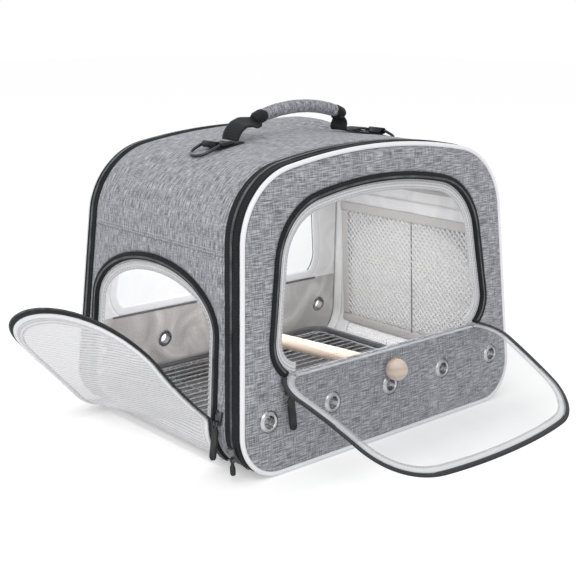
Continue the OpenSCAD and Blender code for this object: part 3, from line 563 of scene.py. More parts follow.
def woven_tape(name, dark, light, pitch_mm=1.6, roughness=0.75, sheen=0.3, depth=0.0002):
    """Polyester tape or webbing, woven on a narrow loom: close ribs run across it, and its
    threads catch the light as a faint twill. The ribs are drawn at twice pitch_mm."""
    material, tree, shader = blank(name, Roughness=roughness, Sheen_Weight=sheen,
                                   Specular_IOR_Level=0.3)
    cloth = own(tree, "UV")
    rib = banded(tree, cloth, "X", pitch_mm, 0.4)
    twill = add(tree, "ShaderNodeTexWave", {"wave_type": "BANDS", "bands_direction": "DIAGONAL"},
                {"Vector": cloth, "Scale": 1000 / pitch_mm / 4.5, "Distortion": 0.5})
    fuzz = noise_2d(tree, cloth, 160.0, 4.0)
    ribs = scale_add(tree, (twill, "Fac"), 0.5, (rib, "Fac"))
    shade = scale_add(tree, (fuzz, "Fac"), 0.9, (ribs, 0))
    level = ranged(tree, (shade, 0), 0.3, 1.8)
    link(tree, (tone(tree, (level, 0), [(0.0, dark), (1.0, light)]), "Color"), shader,
         "Base Color")
    bump(tree, shader, (ribs, 0), 0.8, depth)
    return material


def moulded(name, base, grain_mm=0.8, roughness=0.4, spread=0.12, coat=0.0, metallic=0.0,
            specular=0.5, depth=0.00004, lift="ffffff", mixed=0.06):
    """A moulded, cast or plated surface: an even colour with a little cloudiness, and a fine
    grain in its relief and its gloss."""
    material, tree, shader = blank(name, Metallic=metallic, Coat_Weight=coat,
                                   Specular_IOR_Level=specular)
    place = own(tree, "Object")
    grain = noise_3d(tree, place, 1000 / grain_mm, 3.0)
    cloud = noise_3d(tree, place, 60.0, 3.0)
    amount = ranged(tree, (cloud, "Fac"), 0.3, 0.7, 0.0, mixed)
    hue = add(tree, "ShaderNodeMix", {"data_type": "RGBA"},
              {"Factor": (amount, 0), 6: colour(base), 7: colour(lift)})
    link(tree, (hue, 2), shader, "Base Color")
    gloss = ranged(tree, (cloud, "Fac"), 0.3, 0.7, roughness, roughness + spread)
    link(tree, (gloss, 0), shader, "Roughness")
    bump(tree, shader, (grain, "Fac"), 0.5, depth)
    return material


def nickel_with_painted_rim_shade(name, face, rim):
    """Nickel-plated brass, stamped and rolled: a bright mirror where it faces the eye. Its colour
    is painted dark where it curls away from the eye, a painted reflection that stands for the dark
    rim a curled edge shows between the white walls of a studio."""
    material, tree, shader = blank(name, Metallic=1.0)
    place = own(tree, "Object")
    # painted reflection: the base colour goes from face to rim as the surface turns away from the
    # eye
    turned = add(tree, "ShaderNodeLayerWeight", None, {"Blend": 0.45})
    link(tree, (tone(tree, (turned, "Facing"), [(0.12, face), (0.55, rim)]), "Color"), shader,
         "Base Color")
    cloud = noise_3d(tree, place, 260.0, 3.0)
    gloss = ranged(tree, (cloud, "Fac"), 0.3, 0.7, 0.16, 0.34)
    link(tree, (gloss, 0), shader, "Roughness")
    bump(tree, shader, (cloud, "Fac"), 0.3, 0.00005)
    return material


def brushed_stainless(name, base, low, high, streak=(6.0, 900.0, 900.0),
                      roughness=0.32):
    """Pressed stainless steel, brushed one way before pressing: long fine streaks widen its
    highlights across the grain."""
    material, tree, shader = blank(name, Metallic=1.0)
    place = own(tree, "Object")
    grain = noise_3d(tree, (scaled(tree, place, streak), 0), 1.0, 4.0)
    link(tree, (tone(tree, (grain, "Fac"), [(0.3, low), (0.5, base), (0.7, high)]), "Color"),
         shader, "Base Color")
    gloss = ranged(tree, (grain, "Fac"), 0.0, 1.0, roughness - 0.08, roughness + 0.12)
    link(tree, (gloss, 0), shader, "Roughness")
    bump(tree, shader, (grain, "Fac"), 0.25, 0.00003)
    return material


def turned_wood(name, pale, mid, dark):
    """Pale hardwood, turned and sanded: the grain runs the length of the perch in fine
    uneven lines, with slightly darker late wood."""
    material, tree, shader = blank(name, Roughness=0.55, Specular_IOR_Level=0.35)
    place = own(tree, "Object")
    wander = noise_3d(tree, (scaled(tree, place, (30, 5, 30)), 0), 1.0, 2.0)
    rings = add(tree, "ShaderNodeTexWave", {"wave_type": "RINGS", "rings_direction": "Y"},
                {"Vector": (scaled(tree, place, (1, 0.05, 1)), 0), "Scale": 40.0,
                 "Distortion": 3.2, "Detail": 2.0, "Detail Scale": 2.0})
    pores = noise_3d(tree, (scaled(tree, place, (900, 28, 900)), 0), 1.0, 3.0)
    grain = scale_add(tree, (pores, "Fac"), 0.55, (rings, "Fac"))
    whole = scale_add(tree, (wander, "Fac"), 0.6, (grain, 0))
    level = ranged(tree, (whole, 0), 0.35, 1.75)
    link(tree, (tone(tree, (level, 0), [(0.0, dark), (0.35, mid), (1.0, pale)]), "Color"),
         shader, "Base Color")
    bump(tree, shader, (pores, "Fac"), 0.35, 0.00012)
    return material


def fine_mesh(name, thread, row_mm, covered):
    """Knitted polyester mesh: rows of tiny loops lie close together, so that it looks like
    white cloth with fine lines across it, through which dark things show faintly. The real
    rows are 0.8 mm apart; they are drawn at twice row_mm, so that they still show."""
    material, tree, shader = blank(name, Roughness=0.8, Specular_IOR_Level=0.2,
                                   Sheen_Weight=0.1)
    cloth = own(tree, "UV")
    rows = banded(tree, cloth, "Y", row_mm, 0.5)
    k = 1000 / (row_mm * 0.9)
    loops = noise_2d(tree, (scaled(tree, cloth, (k, k * 0.5, k)), 0), 1.0, 1.0)
    both = scale_add(tree, (loops, "Fac"), 0.9, (rows, "Fac"))
    thread_at = ranged(tree, (both, 0), 0.3, 1.5, covered - 0.16, min(1.0, covered + 0.14))
    link(tree, (thread_at, 0), shader, "Alpha")
    link(tree, (tone(tree, (both, 0), [(0.2, thread[0]), (1.0, thread[1])]), "Color"),
         shader, "Base Color")
    bump(tree, shader, (both, 0), 0.4, 0.0002)
    return material


def clear_vinyl(name, tint, opacity, haze=0.05, roughness=0.07):
    """Clear flexible PVC film, calendered: almost colourless, with soft ripples that break
    up its reflections, and a little haze."""
    material, tree, shader = blank(name, Roughness=roughness, Specular_IOR_Level=0.5, IOR=1.5)
    place = own(tree, "UV")
    ripple = noise_2d(tree, place, 14.0, 2.0, Distortion=0.6)
    link(tree, (tone(tree, (ripple, "Fac"), [(0.3, tint[0]), (0.7, tint[1])]), "Color"),
         shader, "Base Color")
    cover = ranged(tree, (ripple, "Fac"), 0.3, 0.7, opacity - haze, opacity + haze)
    link(tree, (cover, 0), shader, "Alpha")
    bump(tree, shader, (ripple, "Fac"), 0.35, 0.003)
    return material


def lining_nylon(name, low, mid, high, roughness=0.5, sheen=0.2, specular=0.4):
    """Coated nylon lining, plain woven and calendered on its face: a smooth, faintly creased cloth
    with a soft shine. Its colour is painted darker in the creases' hollows, painted shade, over a
    fine tone of its own yarn."""
    material, tree, shader = blank(name, Roughness=roughness, Sheen_Weight=sheen,
                                   Specular_IOR_Level=specular)
    cloth = own(tree, "UV")
    crease_and_painted_shade = noise_2d(tree, cloth, 22.0, 4.0, Distortion=0.8)
    yarn = noise_2d(tree, cloth, 620.0, 2.0)
    both = scale_add(tree, (yarn, "Fac"), 0.35, (crease_and_painted_shade, "Fac"))
    # painted shade: the colour follows the creases' relief, darker in their hollows, with the
    # yarn's own fine tone on it
    level = ranged(tree, (both, 0), 0.4, 0.95)
    link(tree, (tone(tree, (level, 0), [(0.0, low), (0.5, mid), (1.0, high)]), "Color"),
         shader, "Base Color")
    bump(tree, shader, (both, 0), 0.5, 0.0012)
    return material


HEATHER = melange_polyester("heather_polyester_canvas",
                            [(0.0, "727279"), (0.5, "a1a2a9"), (1.0, "cfd0d5")])
HEATHER_PANEL = melange_polyester("heather_polyester_panel",
                                  [(0.0, "6f7077"), (0.5, "9c9ca3"), (1.0, "cbcbd0")],
                                  (15.0, 0.85), "U", 0.62)
HEATHER_GRIP = melange_polyester("heather_polyester_grip",
                                 [(0.0, "686970"), (0.5, "96979e"), (1.0, "c6c7cc")], (8.0, 1.2))
BASE_CLOTH = melange_polyester("dark_polyester_base",
                               [(0.0, "2c2d31"), (0.5, "45464b"), (1.0, "5c5d62")])
BLACK_TAPE = woven_tape("black_zip_tape", "111316", "202327", 1.4, 0.85, 0.03, 0.00008)
BLACK_WEBBING = woven_tape("black_polyester_webbing", "101315", "22272a", 1.5, 0.75, 0.04, 0.00012)
BLACK_COIL = moulded("black_nylon_coil", "131416", 0.6, 0.32, 0.1, specular=0.5, mixed=0.12)
FLAP_TAPE = woven_tape("charcoal_flap_tape", "26282b", "45474b", 1.4, 0.8, 0.05, 0.00008)
WHITE_PIPING = moulded("white_vinyl_piping", "fafaff", 0.9, 0.38, 0.1, coat=0.1, mixed=0.3)
WHITE_RIBBON = woven_tape("white_stitched_ribbon", "e4e4e8", "f0f0f3", 1.2, 0.7, 0.1, 0.00008)
WHITE_THREAD = moulded("white_sewing_thread", "f0f0f2", 0.3, 0.6, 0.1, specular=0.3)
GREY_THREAD = moulded("grey_sewing_thread", "5c5d63", 0.3, 0.65, 0.1, specular=0.2)
DARK_THREAD = moulded("black_sewing_thread", "1b1d20", 0.3, 0.6, 0.1, specular=0.25)
DOOR_MESH = fine_mesh("white_door_mesh", ("e6e6e8", "f8f8fa"), 2.0, 0.86)
DOOR_HEM = fine_mesh("white_mesh_hem", ("ececee", "fafafc"), 2.0, 0.88)
BAND_MESH = fine_mesh("white_mesh_band", ("d6d6d8", "ececee"), 1.6, 0.76)
SIDE_MESH = fine_mesh("white_window_mesh", ("e8e8e8", "f8f8f8"), 2.2, 0.86)
NET_CORD = moulded("white_knitted_net", "eeeded", 0.5, 0.7, 0.1, specular=0.2, mixed=0.2)
WHITE_LINING = lining_nylon("white_nylon_lining", "dedfe0", "ebebec", "f5f5f5", 0.55)
GREY_LINING = lining_nylon("grey_nylon_lining", "88888c", "9a9a9e", "acacb0", 0.6)
SATIN_LINING = lining_nylon("silver_grey_satin_lining", "a8a5a3", "c0bdbb", "dedcda", 0.38, 0.1,
                            0.5)
POCKET_TAPE_CLOTH = woven_tape("grey_pocket_binding", "b9b7b6", "cdcbca", 1.3, 0.7, depth=0.0001)
CLEAR_FILM = clear_vinyl("clear_vinyl_film", ("70777e", "8a9198"), 0.17, 0.03)
# The back pane's film is a more opaque copy of the clear film: painted shade that greys the white
# backdrop seen through it
BACK_FILM_PAINTED_SHADE = clear_vinyl("clear_vinyl_back_pane_painted_shade", ("b4b7bc", "c4c7cb"), 0.3, 0.03)
MILKY_FILM = clear_vinyl("milky_vinyl_edge", ("cfd3d6", "e4e7e9"), 0.5, 0.08, 0.25)
STEEL_SHEET = brushed_stainless("brushed_stainless_tray", "b7b8ba", "9c9da0", "d2d3d5")
STEEL_WIRE = brushed_stainless("polished_stainless_wire", "cfd0d1", "b4b5b8", "ececec",
                               (300.0, 300.0, 300.0), roughness=0.22)
# The eyelets' nickel carries a painted reflection: its colour is dark where its rims turn from the
# eye
NICKEL_PAINTED_RIM_SHADE = nickel_with_painted_rim_shade("nickel_plated_brass_painted_rim_shade", "c3c5c6", "3a3b3d")
BLACKENED_STEEL = moulded("blackened_steel_wire", "3a3d42", 0.7, 0.28, 0.14, metallic=0.85,
                          lift="7d8188", mixed=0.2)
BLACK_LACQUER = moulded("black_lacquered_zinc", "222427", 0.6, 0.25, 0.14, metallic=0.4, coat=0.3,
                        mixed=0.15)
SOFT_PLASTIC = moulded("black_soft_plastic", "16181a", 0.7, 0.55, 0.14, specular=0.25, mixed=0.05)
BOARD = moulded("grey_polypropylene_board", "6b6d72", 1.2, 0.6, 0.15, specular=0.3, depth=0.0001)
WOOD = turned_wood("turned_pale_hardwood", "f2e0cf", "ead6c3", "dec5ae")


# ---------------------------------------------------------------- shell

CREAM_TOP_Z = 226.0
SEAM_DIP = 1.1


def quads_of(rows, cols):
    """The quads of a grid of rows by cols points, numbered row by row."""
    i, j = np.meshgrid(np.arange(rows - 1), np.arange(cols - 1), indexing="ij")
    k = (i * cols + j).ravel()
    return np.stack([k, k + 1, k + cols + 1, k + cols], 1)


def shell_height(y, s, edge, seed):
    """How far padded cloth stands off the wall: nothing at its seams, then up within 9 mm
    of them as 1 - exp(-d / 3.5), with slow waves that grow towards the middle."""
    puff = 1 - np.exp(-edge / 3.5)
    calm = np.clip(edge / 40, 0, 1)
    slow = 0.9 * waves(y, s, seed, 130) + 0.45 * waves(y, s, seed + 1, 46)
    return (puff - 1) * SEAM_DIP + calm * slow


def strip_under(depth0, depth1, s_from, s_to, mirror):
    """The shell's cloth under a zip band, between two depths: a closed strip whose outer
    face lies under the tapes. Depth 0 is the panel's face."""
    s = np.linspace(s_from, s_to, max(24, int(abs(s_to - s_from) / 4)))
    z = wall(0, s)[:, 2]
    tops, unders = [], []
    for depth in np.linspace(depth0, depth1, 6):
        y = layer_y(z, depth)
        tops.append(wall(y, s, -TAPE_T - SEAT))
        unders.append(wall(y, s, -WALL))
    top, under = np.stack(tops, 1).reshape(-1, 3), np.stack(unders, 1).reshape(-1, 3)
    points, faces, kinds = two_sided(top, under, quads_of(len(s), 6)[:, ::-1])
    if mirror:
        points, faces = points * FLIP_Y, faces[:, ::-1]
    uv = np.stack([np.tile(np.linspace(depth0, depth1, 6), len(s)), np.repeat(s, 6)], 1)
    return points, faces, kinds, np.vstack([uv, uv])


def strips(s_from, s_to):
    """The cloth under the front and the back zip band."""
    return [strip_under(PANEL_T + SEAT, depth, s_from, s_to, mirror)
            for depth, mirror in ((FRONT_BAND, False), (BACK_BAND, True))]


def cloth_materials(outer, upper_lining, lower_lining, kinds, middle_z):
    """Face slots for a shell piece: 0 outside and on the rims, 1 for the lining under the
    cabin's seam, 2 for the lining over it."""
    return [outer, lower_lining, upper_lining], np.where(
        kinds == 1, np.where(middle_z < CREAM_TOP_Z, 1, 2), 0)


def shell_piece(name, parts, slot, replaces):
    """Joins the closed parts (points, faces, kinds, uv) of one sewn piece."""
    points, faces, kinds, uvs, start = [], [], [], [], 0
    for p, f, k, uv in parts:
        points.append(p)
        faces.append(f + start)
        kinds.append(k)
        uvs.append(uv)
        start += len(p)
    points, faces, kinds = np.vstack(points), np.vstack(faces), np.concatenate(kinds)
    outer = BASE_CLOTH if slot == "bottom_fabric" else HEATHER
    materials, face_slots = cloth_materials(outer, GREY_LINING, WHITE_LINING, kinds,
                                            points[faces][:, :, 2].mean(1))
    return piece(name, points, faces, materials, "carrier", replaces, np.vstack(uvs),
                 face_slots)


CROWN, CROWN_X, CROWN_SPREAD, CROWN_FROM, CROWN_TO = 12.0, 70, 60, 14, 124


def roof_crown(y, x):
    """How far the roof's padding is pushed up behind the handle: a dome CROWN high, as
    exp(-((x - 70) / 60)^2) along the roof and sin(pi t)^1.3 across it, where t runs from 0
    beside the handle's webbing to 1 at the back band's thread."""
    t = np.clip((y - CROWN_FROM) / (CROWN_TO - CROWN_FROM), 0, 1)
    return CROWN * np.exp(-((x - CROWN_X) / CROWN_SPREAD) ** 2) * np.sin(math.pi * t) ** 1.3


def around(s_from, s_to, seed, crown=False):
    """A piece of the shell without openings: a grid over arc length and depth. Its border
    lies on the zip bands' edges in front and behind."""
    s = np.linspace(s_from, s_to, int((s_to - s_from) / 4))
    z = wall(0, s)[:, 2]
    t = np.unique(np.concatenate([np.linspace(0, 1, 64), [0.008, 0.02, 0.98, 0.992]]))
    y = layer_y(z, FRONT_BAND)[:, None] * (1 - t) - layer_y(z, BACK_BAND)[:, None] * t
    ss = np.broadcast_to(s[:, None], y.shape)
    edge = np.minimum(np.minimum(t, 1 - t) * (y[:, -1:] - y[:, :1]),
                      np.minimum(ss - s_from, s_to - ss))
    out = shell_height(y, ss, edge, seed)
    lift = roof_crown(y, wall(0, s)[:, :1]) if crown else 0 * y
    top = wall(y.ravel(), ss.ravel(), (out + lift).ravel())
    under = wall(y.ravel(), ss.ravel(), lift.ravel() - WALL)
    points, faces, kinds = two_sided(top, under, quads_of(*y.shape)[:, ::-1])
    uv = np.stack([y.ravel(), ss.ravel()], 1)
    return points, faces, kinds, np.vstack([uv, uv])


S_LOW, S_SEAM = float(s_at(BOTTOM_SEAM_Z)), float(s_at(SIDE_SEAM_Z))


def side_wall(seed, hole):
    """The right side wall, with the arch cut out: a patch over depth and arc length. The left
    wall is mirrored from it."""
    z = np.linspace(BOTTOM_SEAM_Z, SIDE_SEAM_Z, 60)
    front_edge = np.stack([layer_y(z, FRONT_BAND), s_at(z)], 1)
    back_edge = np.stack([-layer_y(z, BACK_BAND), s_at(z)], 1)
    outer = np.vstack([front_edge[0], back_edge, front_edge[::-1][:-1]])
    outline = resample(np.vstack([hole, hole[:1]]), 500)
    outline = np.stack([outline[:, 0], s_at(outline[:, 1])], 1)
    points, quads, edge = patch(outer, [outline], 2.6)
    y, s = points[:, 0], points[:, 1]
    top = wall(y, s, shell_height(y, s, edge, seed))
    under = wall(y, s, -WALL)
    verts, faces, kinds = two_sided(top, under, quads)
    return verts, faces, kinds, np.vstack([points, points])


def mirrored_x(part):
    points, faces, kinds, uv = part
    return points * FLIP_X, faces[:, ::-1], kinds, uv


DOOR_HOLE = arch(0)
for side, seed in (("left", 31), ("right", 57)):
    parts = [side_wall(seed, DOOR_HOLE), *strips(S_LOW, S_SEAM)]
    if side == "left":
        parts = [mirrored_x(p) for p in parts]
    shell_piece(f"sewn_{side}_side", parts, "shell_fabric", f"{side}_side_panel")

top_parts = [around(S_SEAM, ROUND - S_SEAM, 83, crown=True), *strips(S_SEAM, ROUND - S_SEAM)]
shell_piece("sewn_roof", top_parts, "shell_fabric", "top_panel")
low_parts = [around(-S_LOW, S_LOW, 91), *strips(-S_LOW, S_LOW)]
for k, (p, f, kinds, uv) in enumerate(low_parts):
    p = p.copy()
    p[:, 2] = np.maximum(p[:, 2], 0)
    low_parts[k] = (p, f, kinds, uv)
shell_piece("sewn_bottom", low_parts, "bottom_fabric", "bottom_panel")


def on_wall(y, s, out):
    return wall(y, s, out), wall_normal(s)


# Two rows of light thread along each seam between a side and the roof, and grey rows
# along the zip bands
seam_rows, band_rows = [], []
for flip in (1, -1):
    for offset in (2.4, 5.4):
        s = np.full(120, S_SEAM + offset)
        z = wall(0, s)[0, 2]
        y = np.linspace(layer_y(z, FRONT_BAND) + 2, -layer_y(z, BACK_BAND) - 2, 120)
        path, normal = on_wall(y, s, 0.1)
        seam_rows.append(stitches(path * [flip, 1, 1], normal * [flip, 1, 1], pitch=3.6,
                                  length=2.8, radius=0.34, lift=0.1))
for depth, flip in ((FRONT_BAND + 2.2, 1), (BACK_BAND + 2.2, -1)):
    s = np.linspace(S_LOW + 6, ROUND - S_LOW - 6, 500)
    z = wall(0, s)[:, 2]
    path, normal = on_wall(layer_y(z, depth), s, 0.0)
    band_rows.append(stitches(path * [1, flip, 1], normal, pitch=3.6, length=2.6, radius=0.26,
                              lift=0.1))
for name, rows, material in (("roof_seam_thread", seam_rows, WHITE_THREAD),
                             ("band_seam_thread", band_rows, GREY_THREAD)):
    sewn(name, joined(rows), material, "carrier")

# ---------------------------------------------------------------- zip bands and piping


def band_path(depth, out, count=640):
    """A path over the body at a depth behind the front panel's face, with its normals."""
    loop = above(body_outline(), BAND_FOOT_Z + 0.1, count)
    flat_t = tangents(loop, False)
    normal = np.stack([flat_t[:, 1], 0 * flat_t[:, 0], -flat_t[:, 0]], 1)
    path = np.stack([loop[:, 0], layer_y(loop[:, 1], depth), loop[:, 1]], 1)
    return path + normal * out, normal


def both_ways(part, mirror):
    points, faces, uv = part
    if mirror:
        points = points * FLIP_Y
        faces = [face[::-1] for face in listed(faces)]
    return points, faces, uv


def tape(depth, width, mirror, ripple):
    """A zip tape with its sewn edge: flat, and a touch higher beside the coil."""
    path, normal = band_path(depth, -TAPE_T, count=420)
    section = tape_profile(width, TAPE_T, 0.12, 9)
    along = lengths(path)
    scale = np.ones((len(path), 1, 2))
    scale[:, 0, 1] = (1 + 0.1 * np.sin(along * 0.045 + ripple)
                      + 0.05 * np.sin(along * 0.19 + 2 * ripple))
    return both_ways(sweep(path, normal, section, False, scale), mirror)


# Real zip teeth are 1.25 mm apart; they are drawn at this pitch so that they still show
TOOTH_PITCH = 2.0


def zip_chain(path, normal, width, height):
    """A closed coil: an oval cord along the path whose height and width rise and fall at
    every tooth, as 1 - k cos(2 pi s / pitch)."""
    dense = resample(path, int(lengths(path)[-1] / TOOTH_PITCH * 5), closed=False)
    ups = spread_on(np.linspace(0, 1, len(dense)), np.linspace(0, 1, len(path)), normal)
    along = lengths(dense)
    scale = np.ones((len(dense), 1, 2))
    scale[:, 0, 0] = 1 - 0.12 * np.cos(2 * math.pi * along / TOOTH_PITCH)
    scale[:, 0, 1] = 1 - 0.3 * np.cos(2 * math.pi * along / TOOTH_PITCH)
    ring = round_profile(width / 2, 10, height / 2) + [0, height / 2]
    return sweep(dense, ups, ring, False, scale)


for label, width, mirror in (("front", FRONT_TAPE_W, False), ("back", BACK_TAPE_W, True)):
    middle = PIPING_D + width
    for kind, depth, ripple in (("panel", middle - width / 2, 0.4),
                                ("shell", middle + width / 2, 2.1)):
        sewn(f"woven_{label}_{kind}_tape", tape(depth, width - 0.1, mirror, ripple), BLACK_TAPE,
             "carrier", f"{label}_{kind}_tape")
    path, normal = band_path(middle, 0.0)
    sewn(f"coiled_{label}_chain", both_ways(zip_chain(path, normal, 3.4, 0.86), mirror),
         BLACK_COIL, "carrier", f"{label}_zip_coil")
    rows = []
    for depth in (PIPING_D + 1.5, middle + width - 1.5, middle - 3.4, middle + 3.4):
        path, normal = band_path(depth, 0.02, count=400)
        rows.append(both_ways(stitches(path, normal, length=2.3, radius=0.24, lift=0.02), mirror))
    sewn(f"{label}_band_thread", joined(rows), DARK_THREAD, "carrier")


def piping_path(inset):
    loop = resample(body_outline(inset), 520)
    return np.stack([loop[:, 0], layer_y(loop[:, 1], PIPING_D / 2), loop[:, 1]], 1)


for label, mirror in (("front", False), ("back", True)):
    path = piping_path(PIPING_D / 2 + (0.9 if mirror else 0.0))
    along = lengths(path)
    scale = np.ones((len(path), 1, 2)) * (
        1 + 0.012 * np.sin(along * 0.21) + 0.01 * np.sin(along * 0.083 + 1))[:, None, None]
    sewn(f"round_{label}_piping",
         both_ways(sweep(path, FRONT_OUT, round_profile(PIPING_D / 2 - 0.08, 14), True, scale),
                   mirror),
         WHITE_PIPING, "carrier", f"{label}_piping")

# ---------------------------------------------------------------- front and back panels


def circle(x, v, radius):
    return arc_points(x, v, radius, 0, 2 * math.pi * (1 - 1 / 40), 40)


EYELETS_X = (np.arange(5) - 2) * EYELET_PITCH
# The cloth's holes under an eyelet's flange and round the perch's stud
EYELET_HOLE_R, STUD_HOLE_R = 8.2, 4.2


def end_panel(seed, perch_hole):
    """An end panel as a patch over (x, v), padded between its seams: it stands out by
    1 - exp(-d / 4) of its thickness beside the piping and the window."""
    outer = resample(body_outline(PIPING_D + SEAT), 700) / [1, math.cos(END_LEAN)]
    holes = [resample(window_arch(0.0, count=300), 600)]
    holes += [circle(x, EYELET_V, EYELET_HOLE_R) for x in EYELETS_X]
    if perch_hole:
        holes.append(circle(0, PERCH_FRONT_V, STUD_HOLE_R))
    points, quads, _ = patch(outer, holes, 2.5)
    x, v = points.T
    border, _ = nearest(points, outer)
    window, _ = nearest(points, holes[0])
    puff = (1 - np.exp(-border / 4)) * (1 - 0.6 * np.exp(-window / 5))
    calm = np.clip(np.minimum(border, window) / 25, 0, 1)
    w = 1.3 * (1 - puff) - calm * (0.55 * waves(x, v, seed, 90) + 0.3 * waves(x, v, seed + 1, 34))
    for ex in EYELETS_X:
        pull = np.exp(-(((x - ex) ** 2 + (v - EYELET_V) ** 2) ** 0.5 - 10).clip(0) / 6)
        w = w * (1 - pull) + 0.02 * pull
    top, under = front(x, w, v), front(x, PANEL_T, v)
    verts, faces, kinds = two_sided(top, under, quads)
    return verts, faces, kinds, np.vstack([points, points]), np.r_[v, v]


for label, seed, mirror in (("front", 11, False), ("back", 23, True)):
    verts, faces, kinds, uv, v = end_panel(seed, not mirror)
    if mirror:
        verts, faces = verts * FLIP_Y, faces[:, ::-1]
    low = v[faces].mean(1) < HINGE_V
    slots = np.where(kinds == 1, np.where(low, 1, 2), 0)
    piece(f"sewn_{label}_panel", verts, faces,
          [HEATHER_PANEL, SATIN_LINING if mirror else GREY_LINING, WHITE_LINING],
          "carrier", f"{label}_panel", uv, slots)


def edge_section(width, low, high):
    """A binding folded over an edge: a rounded section from low to high, width across."""
    h = width / 2
    return np.array([[-h, low], [h, low], [h + 0.05, high - 0.9], [h - 0.5, high - 0.25],
                     [h * 0.4, high], [-h * 0.4, high], [-h + 0.5, high - 0.25],
                     [-h - 0.05, high - 0.9]])


def on_front_path(loop, w=0.0):
    """A flat outline [x, v] on the front panel, with the panel's outward direction."""
    path = front(loop[:, 0], w, loop[:, 1])
    return path, np.broadcast_to(FRONT_OUT, path.shape)


# How far the half chain beside an opening lies in from the binding's outer edge
HALF_CHAIN_INSET = 5.2
# The front window's frame: a black binding over the panel's edge, a half chain on it, and
# a white mesh band behind it with its own stitches
path, up = on_front_path(window_arch(BINDING_W / 2))
along = lengths(path)
scale = np.ones((len(path), 1, 2)) * (1 + 0.02 * np.sin(along * 0.09))[:, None, None]
sewn("bound_front_window",
     sweep(path, up, edge_section(BINDING_W - 0.1, -3.6, HEM_T), False, scale), BLACK_TAPE,
     "carrier", "front_window_binding")
path, up = on_front_path(window_arch(HALF_CHAIN_INSET, 3), -0.62)
sewn("front_window_half_chain", zip_chain(path, up, 2.2, 0.4), BLACK_COIL, "carrier")
SHOWN_BAND = INNER_BAND_W + 3.5
band_mid = (BINDING_W + SHOWN_BAND) / 2
path, up = on_front_path(window_arch(band_mid), PANEL_T)
sewn("front_window_inner_band",
     sweep(path, up, tape_profile(BINDING_W + SHOWN_BAND - 0.1, 1.2, 0.05, 9)), BAND_MESH,
     "carrier", "front_inner_band")
rows = []
for inset, w, lift in ((1.6, -HEM_T, 0.0), (10.2, PANEL_T - 1.2, 0.05),
                       (17.2, PANEL_T - 1.1, 0.0)):
    path, up = on_front_path(window_arch(inset, 2), w)
    rows.append((inset, stitches(path, up, length=2.4, radius=0.25, lift=lift)))
sewn("window_binding_thread", joined([rows[0][1]]), DARK_THREAD, "carrier")
sewn("window_band_thread", joined([r[1] for r in rows[1:]]), GREY_THREAD, "carrier")

# The hem along the strip under the window, with its fold over the panel's edge
HEM_HALF = float(np.abs(window_arch(0.0, count=50)[[0, -1], 0]).max())
x = np.linspace(-HEM_HALF, HEM_HALF, 160)
path = front(x, -0.02, HINGE_V - HEM_H / 2)
hem = sweep(path, FRONT_OUT, tape_profile(HEM_H, HEM_T, 0.25, 11))
fold_path = front(x, PANEL_T / 2 - 0.1, HINGE_V - 0.4)
a = np.linspace(0, math.pi, 9)
# side is downwards here, so the fold's crown goes to negative side values
fold = np.stack([-1.25 * np.sin(a), -(PANEL_T / 2 + 0.35) * np.cos(a)], 1)
fold = np.vstack([fold, [[0.6, PANEL_T / 2 + 0.3], [0.6, -PANEL_T / 2 - 0.3]]])
points, faces, uv = joined([hem, sweep(fold_path, FRONT_OUT, fold[::-1])])
uv[:, 0] -= HEM_HALF
piece("folded_front_hem", points, faces, HEATHER_PANEL, "carrier",
      "front_hem", uv)
rows = []
for v in (HINGE_V - 2.6, HINGE_V - HEM_H + 1.8):
    path = front(x[3:-3], -HEM_T, v)
    rows.append(stitches(path, FRONT_OUT, pitch=3.6, length=2.7, radius=0.3))
sewn("hem_thread", joined(rows), WHITE_THREAD, "carrier")

# ---------------------------------------------------------------- back window


def flat_sheet(outline, step=4.0):
    """A flat cut's points, quads and area in square metres."""
    points, quads, edge = patch(outline, (), step)
    area = abs(np.sum(outline[:, 0] * np.roll(outline[:, 1], -1)
                      - outline[:, 1] * np.roll(outline[:, 0], -1))) / 2
    size = np.ptp(outline, axis=0) / 1000
    return points, quads, edge, (float(size[0]), float(size[1])), float(area / 1e6)


PANE_FLOOR = HINGE_V + BINDING_W
path, up = on_front_path(resample(window_arch(BINDING_W / 2, BINDING_W / 2, 300), 520))
binding = sweep(path, up, edge_section(BINDING_W - 0.1, -PANEL_T + 1.3, HEM_T), True)
sewn("bound_back_window", both_ways(binding, True), BLACK_TAPE, "carrier",
     "back_window_binding")
# Inside, a white ribbon covers the binding
loop = resample(above(window_outline(BINDING_W / 2 + 0.6), HINGE_V + BINDING_W / 2 + 0.6, 300),
                520)
path, up = on_front_path(loop, PANEL_T + 0.55)
sewn("back_window_ribbon",
     both_ways(sweep(path, -up, tape_profile(BINDING_W + 3.0, 1.9, 0.1, 9) - [0, 1.9], True),
               True),
     WHITE_RIBBON, "carrier")
pane = above(window_outline(BINDING_W - 0.6), PANE_FLOOR - 0.6, 260)
points, quads, edge, size, area = flat_sheet(pane)
bow = 0.6 + 0.6 * waves(points[:, 0], points[:, 1], 71, 150)
w = PANEL_T / 2 - 0.9 * np.clip(edge / 30, 0, 1) * bow
back_pane = piece("vinyl_back_window", front(points[:, 0], w, points[:, 1]) * FLIP_Y,
                  quads[:, ::-1],
                  BACK_FILM_PAINTED_SHADE, "carrier", "back_window", points)

# ---------------------------------------------------------------- openings in the sides


def on_side(loop, out, left):
    """An outline [y, z] on a side wall, out outwards, with the wall's outward direction."""
    s = s_at(loop[:, 1])
    flip = FLIP_X if left else np.ones(3)
    return wall(loop[:, 0], s, out) * flip, wall_normal(s) * flip


def arch_path(inset, low, count=420, closed=False):
    return resample(arch(inset, low), count, closed)


